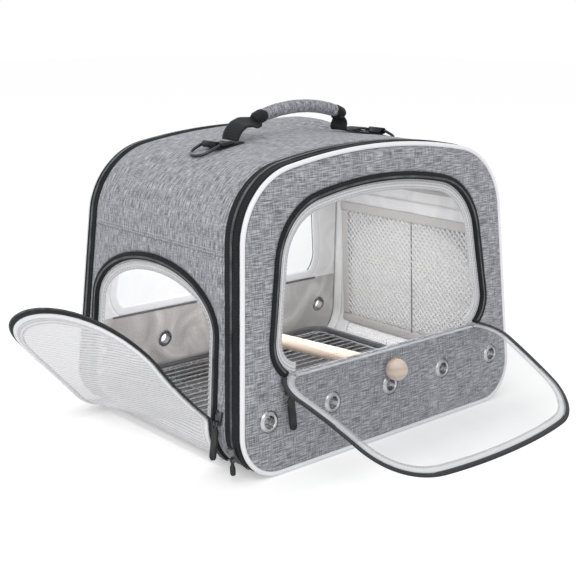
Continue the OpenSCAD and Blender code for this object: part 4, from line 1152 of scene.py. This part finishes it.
# Left doorway: binding, half chain, and the white mesh band behind them with dark tacks
path, up = on_side(arch_path(BINDING_W / 2, DOOR_SILL + 0.1), 0.0, True)
sewn("bound_doorway", sweep(path, up, edge_section(BINDING_W - 0.1, -3.65, HEM_T)), BLACK_TAPE,
     "carrier", "door_frame_binding")
path, up = on_side(arch_path(HALF_CHAIN_INSET, DOOR_SILL + 4), 0.74, True)
sewn("doorway_half_chain", zip_chain(path, up, 2.2, 0.36), BLACK_COIL, "carrier")
path, up = on_side(arch_path(band_mid, DOOR_SILL + 0.1), -WALL, True)
sewn("doorway_inner_band",
     sweep(path, up, tape_profile(BINDING_W + SHOWN_BAND - 0.1, 1.2, 0.05, 9)), BAND_MESH,
     "carrier", "door_inner_band")
path, up = on_side(arch_path(1.6, DOOR_SILL + 2), HEM_T, True)
sewn("doorway_binding_thread", stitches(path, up, length=2.4, radius=0.24), DARK_THREAD, "carrier")
rows = []
for inset, out, pitch in ((17.0, -WALL + 1.15, 4.6), (9.6, -WALL + 1.2, 3.4)):
    path, up = on_side(arch_path(inset, DOOR_SILL + 2), out, True)
    rows.append(stitches(path, up, pitch=pitch, length=2.6, radius=0.3))
    rows.append(stitches(path - up * (out + WALL), -up, pitch=pitch, length=2.6, radius=0.3))
sewn("doorway_band_thread", joined(rows), GREY_THREAD, "carrier")

# Right mesh window: its binding runs all round, and the mesh is stretched in it
low = DOOR_SILL + BINDING_W / 2
path, up = on_side(arch_path(BINDING_W / 2, low, 560, True), 0.0, False)
sewn("bound_right_window",
     sweep(path, up, edge_section(BINDING_W - 0.1, -WALL + 1.3, HEM_T), True), BLACK_TAPE,
     "carrier", "right_window_binding")
path, up = on_side(arch_path(BINDING_W / 2 + 0.6, low + 0.6, 560, True), -WALL - 0.5, False)
sewn("right_window_ribbon",
     sweep(path, -up, tape_profile(BINDING_W + 3.0, 1.8, 0.1, 9) - [0, 1.8], True), WHITE_RIBBON,
     "carrier")
loop = resample(arch(BINDING_W - 0.6, DOOR_SILL + BINDING_W - 0.6), 300)
outline = np.stack([loop[:, 0], s_at(loop[:, 1])], 1)
points, quads, edge, size, area = flat_sheet(outline)
out = -WALL / 2 + 1.1 * np.clip(edge / 40, 0, 1) * waves(points[:, 0], points[:, 1], 44, 120)
side_mesh = piece("stretched_right_mesh", wall(points[:, 0], points[:, 1], out), quads, SIDE_MESH,
                  "carrier", "right_window_mesh", points)

# ---------------------------------------------------------------- net pocket


def pocket(y, z, inwards):
    """A point on the net pocket's plane, inwards from it: it keeps its distance to the
    leaning right wall."""
    y, z, inwards = np.broadcast_arrays(np.asarray(y, float), z, inwards)
    depth = (WALL + POCKET_DEPTH + inwards) / math.cos(SIDE_LEAN)
    x = BODY_W / 2 - z * math.tan(SIDE_LEAN) - depth
    return np.stack([x, y, z], -1)


POCKET_IN = np.array([-math.cos(SIDE_LEAN), 0, -math.sin(SIDE_LEAN)])
NET_LOW, NET_HIGH = POCKET_LOW + POCKET_TAPE, POCKET_HIGH - POCKET_TAPE
NET_HALF = POCKET_L / 2 - POCKET_TAPE
# Real meshes are about 3 mm; they are drawn larger, so that the diamonds still show
NET_CELL_Y, NET_CELL_Z, CORD = 7.2, 7.8, 2.1


def net():
    """Two families of straight cords that cross as diamonds: the lines
    y / cell_y +- z / cell_z = a whole number, cut off at the pocket's binding."""
    parts = []
    y0, y1, z0, z1 = -NET_HALF - 1, NET_HALF + 1, NET_LOW - 1, NET_HIGH + 1
    for family, sign in enumerate((1, -1)):
        ends = sorted(y / NET_CELL_Y + sign * z / NET_CELL_Z for y in (y0, y1) for z in (z0, z1))
        k = np.arange(math.ceil(ends[0]), math.floor(ends[-1]) + 1)
        # z as a function of y on each line, cut to the rectangle
        za = np.clip(sign * (k - y0 / NET_CELL_Y) * NET_CELL_Z, z0, z1)
        zb = np.clip(sign * (k - y1 / NET_CELL_Y) * NET_CELL_Z, z0, z1)
        ya = (k - sign * za / NET_CELL_Z) * NET_CELL_Y
        yb = (k - sign * zb / NET_CELL_Z) * NET_CELL_Y
        for a, b, c, d in zip(ya, za, yb, zb):
            count = int(math.hypot(c - a, d - b) / 9)
            if count < 1:
                continue
            t = np.linspace(0, 1, count + 2)
            y, z = a + (c - a) * t, b + (d - b) * t
            calm = np.clip(1 - abs(y) / NET_HALF, 0, 1)
            wave = 0.25 * (1 if family else -1) + 0.8 * calm * waves(y, z, 15, 90)
            path = pocket(y, z, wave)
            parts.append(sweep(path, POCKET_IN,
                               [[-CORD / 2, 0], [0, -0.25], [CORD / 2, 0], [0, 0.45]]))
    return joined(parts)


sewn("diamond_pocket_net", net(), NET_CORD, "carrier", "mesh_pocket")
bands = []
NEAR, FAR = POCKET_L / 2 - POCKET_TAPE / 2, POCKET_L / 2
for (y0, z0), (y1, z1) in (
        ((-FAR, POCKET_HIGH - POCKET_TAPE / 2), (FAR, POCKET_HIGH - POCKET_TAPE / 2)),
        ((-FAR, POCKET_LOW + POCKET_TAPE / 2), (FAR, POCKET_LOW + POCKET_TAPE / 2)),
        ((-NEAR, NET_LOW), (-NEAR, NET_HIGH)), ((NEAR, NET_LOW), (NEAR, NET_HIGH))):
    t = np.linspace(0, 1, 60)
    path = pocket(y0 + (y1 - y0) * t, z0 + (z1 - z0) * t, -0.9 + 0.15 * np.sin(t * 30))
    bands.append(sweep(path, POCKET_IN, tape_profile(POCKET_TAPE - 0.2, 2.1, 0.3, 9)))
EDGE_FOLD, FOLD_IN = [[-1, 0], [1, 0], [1, 2.2], [-1, 2.2]], -2.8
# What holds the binding off the wall: a folded edge that goes back to the lining
for y in (-POCKET_L / 2 + 1.2, POCKET_L / 2 - 1.2):
    z = np.linspace(52, POCKET_HIGH - 1, 40)
    path = pocket(y, z, FOLD_IN)
    bands.append(sweep(path, POCKET_IN, EDGE_FOLD))
y = np.linspace(-POCKET_L / 2 + 0.4, POCKET_L / 2 - 0.4, 60)
path = pocket(y, POCKET_HIGH - 1.2, FOLD_IN)
bands.append(sweep(path, POCKET_IN, EDGE_FOLD))
sewn("bound_pocket", joined(bands), POCKET_TAPE_CLOTH, "carrier", "pocket_binding")
z = np.linspace(NET_LOW - 2, NET_HIGH + 2, 40)
path = pocket(-4, z, 0.45)
sewn("pocket_seam", sweep(path, POCKET_IN, tape_profile(1.5, 0.5, 0.3, 5)), GREY_THREAD, "carrier")

# ---------------------------------------------------------------- inner seams

s_seam = float(s_at(CREAM_TOP_Z))
rows = []
for flip in (1, -1):
    z = wall(0, s_seam)[2]
    y = np.linspace(layer_y(z, PANEL_T) + 2, -layer_y(z, PANEL_T) - 2, 80)
    path = wall(y, np.full(80, s_seam), -WALL) * [flip, 1, 1]
    normal = -wall_normal(np.full(80, s_seam)) * [flip, 1, 1]
    rows.append(sweep(path, normal, tape_profile(4.5, 0.7, 0.3, 5)))
sewn("lining_seam_tape", joined(rows), POCKET_TAPE_CLOTH, "carrier")
# The back panel's lining ends in a dark piped edge under the window
x = np.linspace(-HEM_HALF - 8, HEM_HALF + 8, 120)
path = front(x, PANEL_T, HINGE_V - 1.5) * FLIP_Y
sewn("lining_top_edge", sweep(path, -FRONT_OUT * FLIP_Y, tape_profile(2.4, 0.9, 0.4, 5)),
     GREY_THREAD, "carrier")


# ---------------------------------------------------------------- clear front flap

FLAP_L = WINDOW_BASE + WINDOW_H + FLAP_OVER - HINGE_V
HINGE_POINT = front(0, -HEM_T - FLAP_GAP, HINGE_V)
PANEL_UP = np.array([0, math.sin(END_LEAN), math.cos(END_LEAN)])
# The film stands off its closing face, and its sides draw in and lean aside by the tip
FLAP_STAND, FLAP_DRAW, FLAP_ASIDE = 0.45, 0.063, 10.3
INTEGRAL_STEPS = (np.arange(40) + 0.5) / 40


def flap_turn(x, q):
    """The flap's turn from closed, in radians: it curls down with h^2 and beside its hinge
    with exp(-q / 30), its sides hang lower with x^2 h, and the left one a little more with
    x h, where h is q over the flap's length."""
    h = np.clip(q / FLAP_L, 0, 1.05)
    across = x / (WINDOW_W / 2)
    return np.radians(110.0 + 5.8 * h ** 2 - 3.9 * across * h + 12.9 * across ** 2 * h
                      + 1.3 * np.exp(-np.clip(q, 0, None) / 30))


def flapped(x, q, o):
    """A point on the open flap: q along it from the hinge, o outwards from its closing face.
    The point is the hinge plus the integral over q of the direction that flap_turn gives,
    plus o times the normal. Its sides draw in, and it leans aside, with the length."""
    x, q, o = (np.array(v, float) for v in np.broadcast_arrays(x, q, o))
    turn = flap_turn(x[..., None], q[..., None] * INTEGRAL_STEPS)[..., None]
    line = (np.cos(turn) * PANEL_UP + np.sin(turn) * FRONT_OUT).mean(-2) * q[..., None]
    h = np.clip(q / FLAP_L, 0, 1)
    lift = FLAP_STAND + 1.3 * (1 - (x / (WINDOW_W / 2)) ** 2).clip(0, 1) * np.sin(np.pi * h)
    placed = HINGE_POINT * [0, 1, 1] + line + (o + lift)[..., None] * flap_normal(x, q)
    placed[..., 0] = x * (1 - FLAP_DRAW * h) - FLAP_ASIDE * h ** 1.5
    return placed


def flap_normal(x, q):
    turn = flap_turn(x, q)[..., None]
    return np.cos(turn) * FRONT_OUT - np.sin(turn) * PANEL_UP


def flap_path(loop, o):
    """An outline [x, v] on the flap, with the flap's outward direction."""
    q = loop[:, 1] - HINGE_V
    return flapped(loop[:, 0], q, o), flap_normal(loop[:, 0], q)


HINGE_STRIP, FILM_INSET, MILKY_INSET, MILKY_W = 3.2, 10.2, 7.4, 8.4
film_cut = window_arch(FILM_INSET, HINGE_STRIP, 320)
points, quads, edge, size, area = flat_sheet(film_cut, 3.5)
x, v = points.T
ripple = np.clip(edge / 18, 0, 1) * (0.7 * waves(x, v, 207, 75) + 0.25 * waves(x, v, 208, 28))
film = piece("vinyl_flap_film", flapped(x, v - HINGE_V, 0.7 + ripple), quads, CLEAR_FILM,
             "front_flap", "flap_window", points)

edge_loop = window_arch(MILKY_INSET, 0.5)
path, up = flap_path(edge_loop, 0.0)
edge_strip = sweep(path, up, tape_profile(MILKY_W, 1.3, 0.25, 9))
x = np.linspace(edge_loop[-1, 0] + 3, edge_loop[0, 0] - 3, 160)
loop = np.stack([x, HINGE_V + 0.4 + HINGE_STRIP / 2 + 0 * x], 1)
path, up = flap_path(loop, 0.05)
hinge_strip = sweep(path, up, tape_profile(HINGE_STRIP, 1.3, 0.25, 7))
sewn("milky_flap_edge", joined([edge_strip, hinge_strip]), MILKY_FILM, "front_flap",
     "flap_edge")
path, up = flap_path(window_arch(1.5, 0.5, 480), 0.1)
sewn("woven_flap_tape", sweep(path, up, edge_section(5.2, -0.3, 1.3)), FLAP_TAPE, "front_flap",
     "flap_zip_tape")
path, up = flap_path(window_arch(0.2, 3, 480), 0.35)
sewn("flap_half_chain", zip_chain(path, up, 2.0, 0.9), BLACK_COIL, "front_flap")
rows = []
for inset in (4.9, 10.4):
    path, up = flap_path(window_arch(inset, 2), 1.18)
    rows.append(stitches(path, up, length=2.3, radius=0.22))
    path, up = flap_path(window_arch(inset, 2), 0.08)
    rows.append(stitches(path, -up, length=2.3, radius=0.18))
sewn("flap_thread", joined(rows), GREY_THREAD, "front_flap")

# ---------------------------------------------------------------- mesh door

DOOR_FOOT_S = float(s_at(DOOR_SILL))
DOOR_REACH = float(s_at(DOOR_SPRING + DOOR_RISE)) - DOOR_FOOT_S
# Its zip is still closed up to the slider on the front leg, so the cloth folds along a
# slanting line from there to the sill, and keeps to the wall below it
FOLD_HIGH, FOLD_POWER, FOLD_SOFT, DOOR_ASIDE = 50.3, 1.2, 14.0, 14.0


def door_turn(y, l):
    """The door's turn from closed, in radians, at l up the wall from the sill: 0 under the
    fold, then within FOLD_SOFT mm, as a smooth step, the opening angle, which grows towards
    the back leg, eases off beside the fold as exp(-l / 91), and towards the tip with l^2."""
    side = np.clip((y - DOOR_Y) / DOOR_HALF, -1.05, 1.05)
    past = l - FOLD_HIGH * np.clip((1 - side) / 2, 0, 1) ** FOLD_POWER
    step = np.clip(past / FOLD_SOFT + 0.5, 0, 1)
    angle = (48.3 + 7.1 * side - (2.3 + 13.4 * side) * np.exp(-np.clip(past, 0, None) / 91.5)
             - 17.3 * np.clip(l / DOOR_REACH, 0, 1.1) ** 2)
    return np.radians(step * step * (3 - 2 * step) * angle)


def door_frame(y, l):
    """The turned door's direction up its cloth, and its normal."""
    turn = door_turn(y, l)[..., None]
    out = wall_normal(DOOR_FOOT_S + l) * FLIP_X
    rise = np.stack([out[..., 2], 0 * out[..., 0], -out[..., 0]], -1)
    return np.cos(turn) * rise + np.sin(turn) * out, np.cos(turn) * out - np.sin(turn) * rise


def doored(y, z, o):
    """A point on the open door, o outwards: the sill's point plus the integral over l of the
    cloth's direction, plus o times its normal. Its tip leans towards the back."""
    y, z, o = (np.array(v, float) for v in np.broadcast_arrays(y, z, o))
    l = s_at(z) - DOOR_FOOT_S
    along, _ = door_frame(y[..., None], l[..., None] * INTEGRAL_STEPS)
    _, normal = door_frame(y, l)
    placed = (wall(y, np.full(y.shape, DOOR_FOOT_S), HEM_T + FLAP_GAP) * FLIP_X
              + along.mean(-2) * l[..., None] + o[..., None] * normal)
    placed[..., 1] += DOOR_ASIDE * np.clip(l / DOOR_REACH, 0, 1) ** 1.5
    return placed


def door_normal(y, z):
    return door_frame(np.asarray(y, float), s_at(z) - DOOR_FOOT_S)[1]


def door_path(inset, o, low=DOOR_SILL + 0.3, count=420):
    loop = arch_path(inset + DOOR_UNDER, low, count)
    return doored(loop[:, 0], loop[:, 1], o), door_normal(loop[:, 0], loop[:, 1])


door_tape = BINDING_W - 1
mesh_cut = resample(arch(DOOR_UNDER + door_tape + DOOR_PIPING_W - 1.0, DOOR_SILL + 0.2), 320)
points, quads, edge, size, area = flat_sheet(mesh_cut, 3.5)
y, z = points.T
calm = np.clip(edge / 25, 0, 1)
slack = calm * (1.2 * waves(y, z, 301, 95) + 0.4 * waves(y, z, 302, 36))
mesh_door = piece("knitted_door_mesh", doored(y, z, 0.9 + slack.clip(-0.6, 9)), quads,
                  DOOR_MESH, None, "door_mesh", points)
path, up = door_path(door_tape + DOOR_PIPING_W / 2, 0.0)
door_cord = sewn("round_door_piping",
                 sweep(path, up, round_profile(DOOR_PIPING_W / 2 + 0.5, 12, 1.7) + [0, 1.4]),
                 WHITE_PIPING, None, "door_piping")
path, up = door_path(door_tape / 2, 0.1)
door_tape_piece = sewn("woven_door_tape", sweep(path, up, edge_section(door_tape - 0.1, 0.0, 1.2)),
                       BLACK_TAPE, None, "door_zip_tape")
path, up = door_path(0.9, 0.35, DOOR_SILL + 4, 480)
door_chain = sewn("door_half_chain", zip_chain(path, up, 2.0, 0.9), BLACK_COIL, None)
# The inner edge of the mesh is turned in and sewn down in a narrow channel
path, up = door_path(door_tape + DOOR_PIPING_W + 4.5, 0.95)
channel = sweep(path, up, tape_profile(7, 0.7, 0.3, 7))
door_channel = sewn("door_mesh_channel",
                    joined([channel,
                            stitches(path, up, pitch=3.2, length=2.2, radius=0.22, lift=0.7,
                                     shift=-2.8)]),
                    DOOR_HEM, None)
path, up = door_path(5.4, 1.28)
door_stitches = sewn("door_thread", stitches(path, up, length=2.3, radius=0.22), GREY_THREAD, None)
# The door's pieces have their transforms applied to their meshes; their cloth, as built above,
# bends between the wall, where its zip is closed, and the swinging part
for made in (mesh_door, door_cord, door_tape_piece, door_chain, door_channel, door_stitches):
    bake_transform(made)

# ---------------------------------------------------------------- handle

GRIP_R = ((GRIP_L / 2) ** 2 + GRIP_RISE ** 2) / (2 * GRIP_RISE)
GRIP_Z = BODY_H + GRIP_LIFT
GRIP_TURN = math.asin(GRIP_L / 2 / GRIP_R)
# A cap spans CAP_TURN radians of the grip's arc and reaches over its end by CAP_OVERLAP
CAP_TURN, CAP_OVERLAP = CAP_L / GRIP_R, 0.022
FOOT_Z = float(roof_z(STRAP_FOOT_X - 4)) + 2 * WEBBING_T + 0.4


def grip_point(turn):
    """A point on the grip's arc, by the angle off its top."""
    turn = np.asarray(turn, float)
    return np.stack([GRIP_R * np.sin(turn), 0 * turn, GRIP_Z - GRIP_R + GRIP_R * np.cos(turn)], -1)


# The padded grip: round, fuller in the middle, with a sewn seam along its underside and
# small gathers at both ends
t = np.linspace(-GRIP_TURN, GRIP_TURN, 150)
path = grip_point(t)
up = unit(path - [0, 0, GRIP_Z - GRIP_R])
rounds = np.linspace(0, 2 * math.pi, 40, endpoint=False)
full = 1 - 0.07 * (t / GRIP_TURN) ** 6
swell = 1 + 0.03 * np.sin(t[:, None] * 75 + 2 * rounds) * np.abs(t[:, None] / GRIP_TURN) ** 3
swell = swell + 0.018 * waves(t[:, None] * 420 + 0 * rounds,
                              rounds[None] * 7 + 0 * t[:, None], 88, 28)
groove = 1 - 0.1 * np.exp(-((rounds - 1.5 * math.pi) / 0.13) ** 2)
scale = (full[:, None] * swell * groove[None])[:, :, None] * np.ones(2)
section = np.stack([GRIP_D / 2 * np.cos(rounds), GRIP_D / 2 * 0.94 * np.sin(rounds)], 1)
grip = sewn("padded_grip", sweep(path, up, section, False, scale), HEATHER_GRIP, "handle",
            "handle_grip")

caps = []
for side in (-1, 1):
    t = side * np.linspace(GRIP_TURN - CAP_OVERLAP, GRIP_TURN + CAP_TURN, 22)
    path = grip_point(t)
    up = unit(path - [0, 0, GRIP_Z - GRIP_R])
    taper = np.interp(np.abs(t), [GRIP_TURN - CAP_OVERLAP, GRIP_TURN, GRIP_TURN + CAP_TURN * 0.7,
                                  GRIP_TURN + CAP_TURN],
                      [0.96, 1.04, 0.94, 0.66])
    lump = 1 + 0.03 * np.sin(rounds * 3 + side)[None] + 0 * t[:, None]
    caps.append(sweep(path, up, section, False, (taper[:, None] * lump)[:, :, None] * np.ones(2)))
sewn("wrapped_grip_caps", joined(caps), BLACK_WEBBING, "handle", "handle_caps")

# Each strap leaves its cap folded double, opens out to its full width, drops to the roof
# and turns back on itself at its sewn foot
cap_end = grip_point(GRIP_TURN + CAP_TURN - 0.03)
CAP_X, CAP_Z = cap_end[0], cap_end[2]
# The grip is pushed to the right: the left strap is drawn out, and the right one drops
# from its cap and doubles back along the roof
STRAP_LINES = {
    "left": [(CAP_X - 3, CAP_Z + 0.6), (CAP_X + 6, CAP_Z - 1.6), (76, 320.5), (85, 318.5),
             (91, 313.5), (94.2, 308.5), (95.6, FOOT_Z + 1), (96.2, FOOT_Z - 0.4)],
    "right": [(CAP_X - 3, CAP_Z + 0.6), (CAP_X + 2.5, CAP_Z - 2.2), (CAP_X + 4.5, CAP_Z - 7),
              (CAP_X + 2.6, 311), (CAP_X - 0.8, 307), (CAP_X + 0.4, 304.4), (67, 304.3),
              (77, 304.6), (86, 305.2), (92, 304.9), (95.5, FOOT_Z + 0.8),
              (96.4, FOOT_Z - 0.4)],
}
# How far each strap is rolled about its own line, in degrees, from its cap to its foot
TWIST = {"left": [-34, -20, -5, 0], "right": [0, 0, 0, 0]}


def smoothed(line, times):
    """A polyline whose inner points move to (before + 2 here + after) / 4, some times over."""
    for _ in range(times):
        line[1:-1] = (line[:-2] + 2 * line[1:-1] + line[2:]) / 4
    return line


def strap_line(name):
    """The strap's middle line as (x, z): a polyline, resampled and smoothed."""
    return smoothed(resample(np.array(STRAP_LINES[name]), 70, closed=False), 12)


for side, name in ((-1, "left"), (1, "right")):
    line = strap_line(name)
    path = np.stack([side * line[:, 0], 0 * line[:, 0], line[:, 1]], 1)
    along = tangents(path, False)
    up = unit(np.cross(along, [0, side, 0]))
    run = lengths(path) / lengths(path)[-1]
    width = np.interp(run, [0, 0.1, 0.3, 1], [0.55, 0.66, 0.98, 1.0])
    # its edges cup towards the grip where it is folded, and relax towards the foot
    u = np.linspace(-1, 1, 13)
    cup = np.interp(run, [0, 0.12, 0.4, 1], [6.2, 4.6, 0.6, 0.0])
    section = np.stack([np.r_[u, u[::-1]] * WEBBING_W / 2,
                        np.r_[-0.5 * WEBBING_T + 0 * u,
                              0.5 * WEBBING_T - 0.25 * (abs(u) == 1)]], 1)
    u = np.r_[u, u[::-1]][None]
    bend = 0.25 * np.sin(run * 9)[:, None] * u - cup[:, None] * u ** 2
    # the drawn-out left strap stands on edge at its cap, and turns flat towards its foot
    roll = np.radians(np.interp(run, [0, 0.3, 0.75, 1], TWIST[name]))[:, None]
    up = np.cos(roll) * up + np.sin(roll) * np.cross(along, up)
    scale = np.stack([width, np.ones(len(run))], 1)[:, None]
    strap = sewn(f"{name}_handle_strap",
                 sweep(path, up, section, False, scale, np.stack([0 * bend, bend], 2)),
                 BLACK_WEBBING, None, "handle_straps")
    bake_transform(strap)

# The webbing sewn along the roof from each strap's foot to its ring: one tape with a box
# of stitches, which loops round the ring's bar and comes back on top of itself
BAR = np.array([RING_X, 0, float(roof_z(RING_X)) + WEBBING_T + RING_WIRE_D / 2 + WEBBING_T + 0.3])


def roof_normal(x):
    x = np.asarray(x, float)
    slope = roof_z(x + 0.5) - roof_z(x - 0.5)
    return unit(np.stack([-slope, 0 * x, 1 + 0 * x], -1))


anchors, anchor_rows = [], []
LOOP = RING_WIRE_D / 2 + 0.25
for side in (-1, 1):
    x = np.linspace(STRAP_FOOT_X - 8, RING_X - 6, 40)
    low = np.stack([x, roof_z(x) + 1.15], 1)
    a = np.linspace(-math.pi / 2 - 0.1, math.pi * 0.78, 26)
    bow = np.stack([BAR[0] + (LOOP + 1) * np.cos(a), BAR[2] + (LOOP + 1) * np.sin(a)], 1)
    xb = np.linspace(RING_X - 7, STRAP_FOOT_X + 4, 36)
    back = np.stack([xb, roof_z(xb) + 2.75 + 0.9 * np.exp(-(RING_X - 5 - xb) / 4)], 1)
    line = smoothed(resample(np.vstack([low, bow, back]), 150, closed=False), 6)
    path = np.stack([side * line[:, 0], 0 * line[:, 0], line[:, 1]], 1)
    up = np.cross(tangents(path, False), [0, side, 0])
    section = tape_profile(WEBBING_W - 3, 1.5, 0.08, 9) - [0, 0.75]
    anchors.append(sweep(path, up, section))
    xs = np.linspace(STRAP_FOOT_X + 5.5, RING_X - 9, 20)
    for y0, y1 in ((-9, -9), (9, 9), (-9, 9), (9, -9)):
        p = np.stack([side * xs, np.linspace(y0, y1, 20), roof_z(xs) + 3.55], 1)
        anchor_rows.append(stitches(p, roof_normal(xs) * [side, 1, 1], pitch=2.8, length=2.0,
                                    radius=0.22))
    for xe in (xs[0], xs[-1]):
        yy = np.linspace(-9, 9, 16)
        p = np.stack([side * xe + 0 * yy, yy, roof_z(xe) + 3.55 + 0 * yy], 1)
        anchor_rows.append(stitches(p, np.array([0, 0, 1.0]), pitch=2.8, length=2.0, radius=0.22))
sewn("sewn_strap_anchors", joined(anchors), BLACK_WEBBING, "carrier",
     "strap_anchors")
sewn("anchor_thread", joined(anchor_rows), DARK_THREAD, "carrier")


# ---------------------------------------------------------------- pieces kept from the model

FINISHES = {
    "base_board": BOARD, "front_eyelets": NICKEL_PAINTED_RIM_SHADE, "back_eyelets": NICKEL_PAINTED_RIM_SHADE, "tray": STEEL_SHEET,
    "grate_frame": STEEL_WIRE, "grate_wires": STEEL_WIRE, "grate_feet": STEEL_WIRE,
    "perch": WOOD, "front_knob": WOOD, "back_knob": WOOD,
    "left_d_ring": BLACKENED_STEEL, "right_d_ring": BLACKENED_STEEL,
    "front_zip_slider": BLACK_LACQUER, "back_zip_slider": BLACK_LACQUER,
    "flap_slider": BLACK_LACQUER, "door_slider": BLACK_LACQUER,
    "front_zip_pull": SOFT_PLASTIC, "back_zip_pull": SOFT_PLASTIC,
    "flap_pull": SOFT_PLASTIC, "door_pull": SOFT_PLASTIC,
}
for node, material in FINISHES.items():
    for socket in bpy.data.objects[node].material_slots:
        socket.material = material

# ---------------------------------------------------------------- stage, light and camera


# The glow that the eye sees on the floor, and the room's light, of 1 for the white backdrop
FLOOR_LIFT, ROOM_LIGHT = 0.37, 0.72
# Half the floor's side in metres, and its height, just under the base
FLOOR_HALF, FLOOR_Z = 9, -0.0005


def seen_by_eye(tree):
    """1 for a ray from the camera, off a mirror or through glass, and 0 for other light."""
    rays = add(tree, "ShaderNodeLightPath")
    glossy = add(tree, "ShaderNodeMath", {"operation": "MAXIMUM"},
                 {0: (rays, "Is Camera Ray"), 1: (rays, "Is Glossy Ray")})
    return add(tree, "ShaderNodeMath", {"operation": "MAXIMUM"},
               {0: (glossy, 0), 1: (rays, "Is Transmission Ray")})


# The floor takes the object's shadow on a matt white, and a ray from the camera, off a
# mirror or through glass sees it a little brighter, so that it runs into the backdrop
floor_finish, tree, shader = blank("pale_floor", Roughness=0.9, Specular_IOR_Level=0.0)
shader.inputs["Base Color"].default_value = (0.86, 0.86, 0.86, 1)
shader.inputs["Emission Color"].default_value = (1, 1, 1, 1)
seen = seen_by_eye(tree)
lift = add(tree, "ShaderNodeMath", {"operation": "MULTIPLY"}, {0: (seen, 0), 1: FLOOR_LIFT})
link(tree, (lift, 0), shader, "Emission Strength")
mesh = bpy.data.meshes.new("floor")
corners = [(-1, -1), (1, -1), (1, 1), (-1, 1)]
mesh.from_pydata([(x * FLOOR_HALF, y * FLOOR_HALF, FLOOR_Z) for x, y in corners], [],
                 [[0, 1, 2, 3]])
mesh.materials.append(floor_finish)
made = bpy.data.objects.new("floor", mesh)
bpy.context.scene.collection.objects.link(made)

world = bpy.data.worlds.new("studio")
bpy.context.scene.world = world
world.use_nodes = True
tree = world.node_tree
tree.nodes.clear()
seen = seen_by_eye(tree)
level = scale_add(tree, (seen, 0), 1.0 - ROOM_LIGHT, ROOM_LIGHT)
background = add(tree, "ShaderNodeBackground", None,
                 {"Color": (1, 1, 1, 1), "Strength": (level, 0)})
add(tree, "ShaderNodeOutputWorld", None, {"Surface": (background, 0)})


def area_light(name, place, target, size, power):
    light = bpy.data.lights.new(name, "AREA")
    light.shape, light.size, light.size_y = "RECTANGLE", size[0], size[1]
    light.energy = power
    made = bpy.data.objects.new(name, light)
    made.location = place
    made.rotation_euler = (mathutils.Vector(target) - mathutils.Vector(place)).to_track_quat(
        "-Z", "Y").to_euler()
    bpy.context.scene.collection.objects.link(made)
    return made


area_light("key", (-1.5, -1.0, 2.2), (0, 0, 0.15), (1.6, 1.2), 12)
area_light("fill", (-0.9, -1.5, 0.8), (-0.1, 0, 0.2), (0.7, 0.7), 2.4)
area_light("back", (0.6, 2.0, 1.2), (0, 0, 0.2), (2.0, 1.4), 9)
# A soft lamp under the roof gives the cabin the light that its cloth walls let through
cabin = area_light("cabin", (-0.02, 0, 0.25), (-0.02, 0.001, 0.0), (0.2, 0.16), 0.68)
cabin.visible_camera = cabin.visible_glossy = cabin.visible_transmission = False

# The photo's camera: turned left of the front, looking down and rolled by these angles
AZ, PITCH, ROLL = math.radians(-41.822), math.radians(14.159), math.radians(0.618)
# Its sensor and lens in mm, and its place in metres
SENSOR_W, LENS, CAMERA_AT = 36.0, 67.03, (-0.78609, -0.86271, 0.42534)
forward = np.array([-math.sin(AZ) * math.cos(PITCH), math.cos(AZ) * math.cos(PITCH),
                    -math.sin(PITCH)])
right = unit(np.cross(forward, [0, 0, 1.0]))
above_it = np.cross(right, forward)
turned_right = math.cos(ROLL) * right + math.sin(ROLL) * above_it
turned_up = -math.sin(ROLL) * right + math.cos(ROLL) * above_it
camera = bpy.data.cameras.new("camera")
camera.sensor_width, camera.lens = SENSOR_W, LENS
camera.clip_start, camera.clip_end = 0.05, 50
holder = bpy.data.objects.new("camera", camera)
matrix = np.eye(4)
matrix[:3, 0], matrix[:3, 1], matrix[:3, 2] = turned_right, turned_up, -forward
matrix[:3, 3] = CAMERA_AT
holder.matrix_world = mathutils.Matrix(matrix.tolist())
bpy.context.scene.collection.objects.link(holder)
bpy.context.scene.camera = holder
view = bpy.context.scene.view_settings
view.view_transform, view.look, view.exposure, view.gamma = "Standard", "None", 0, 1
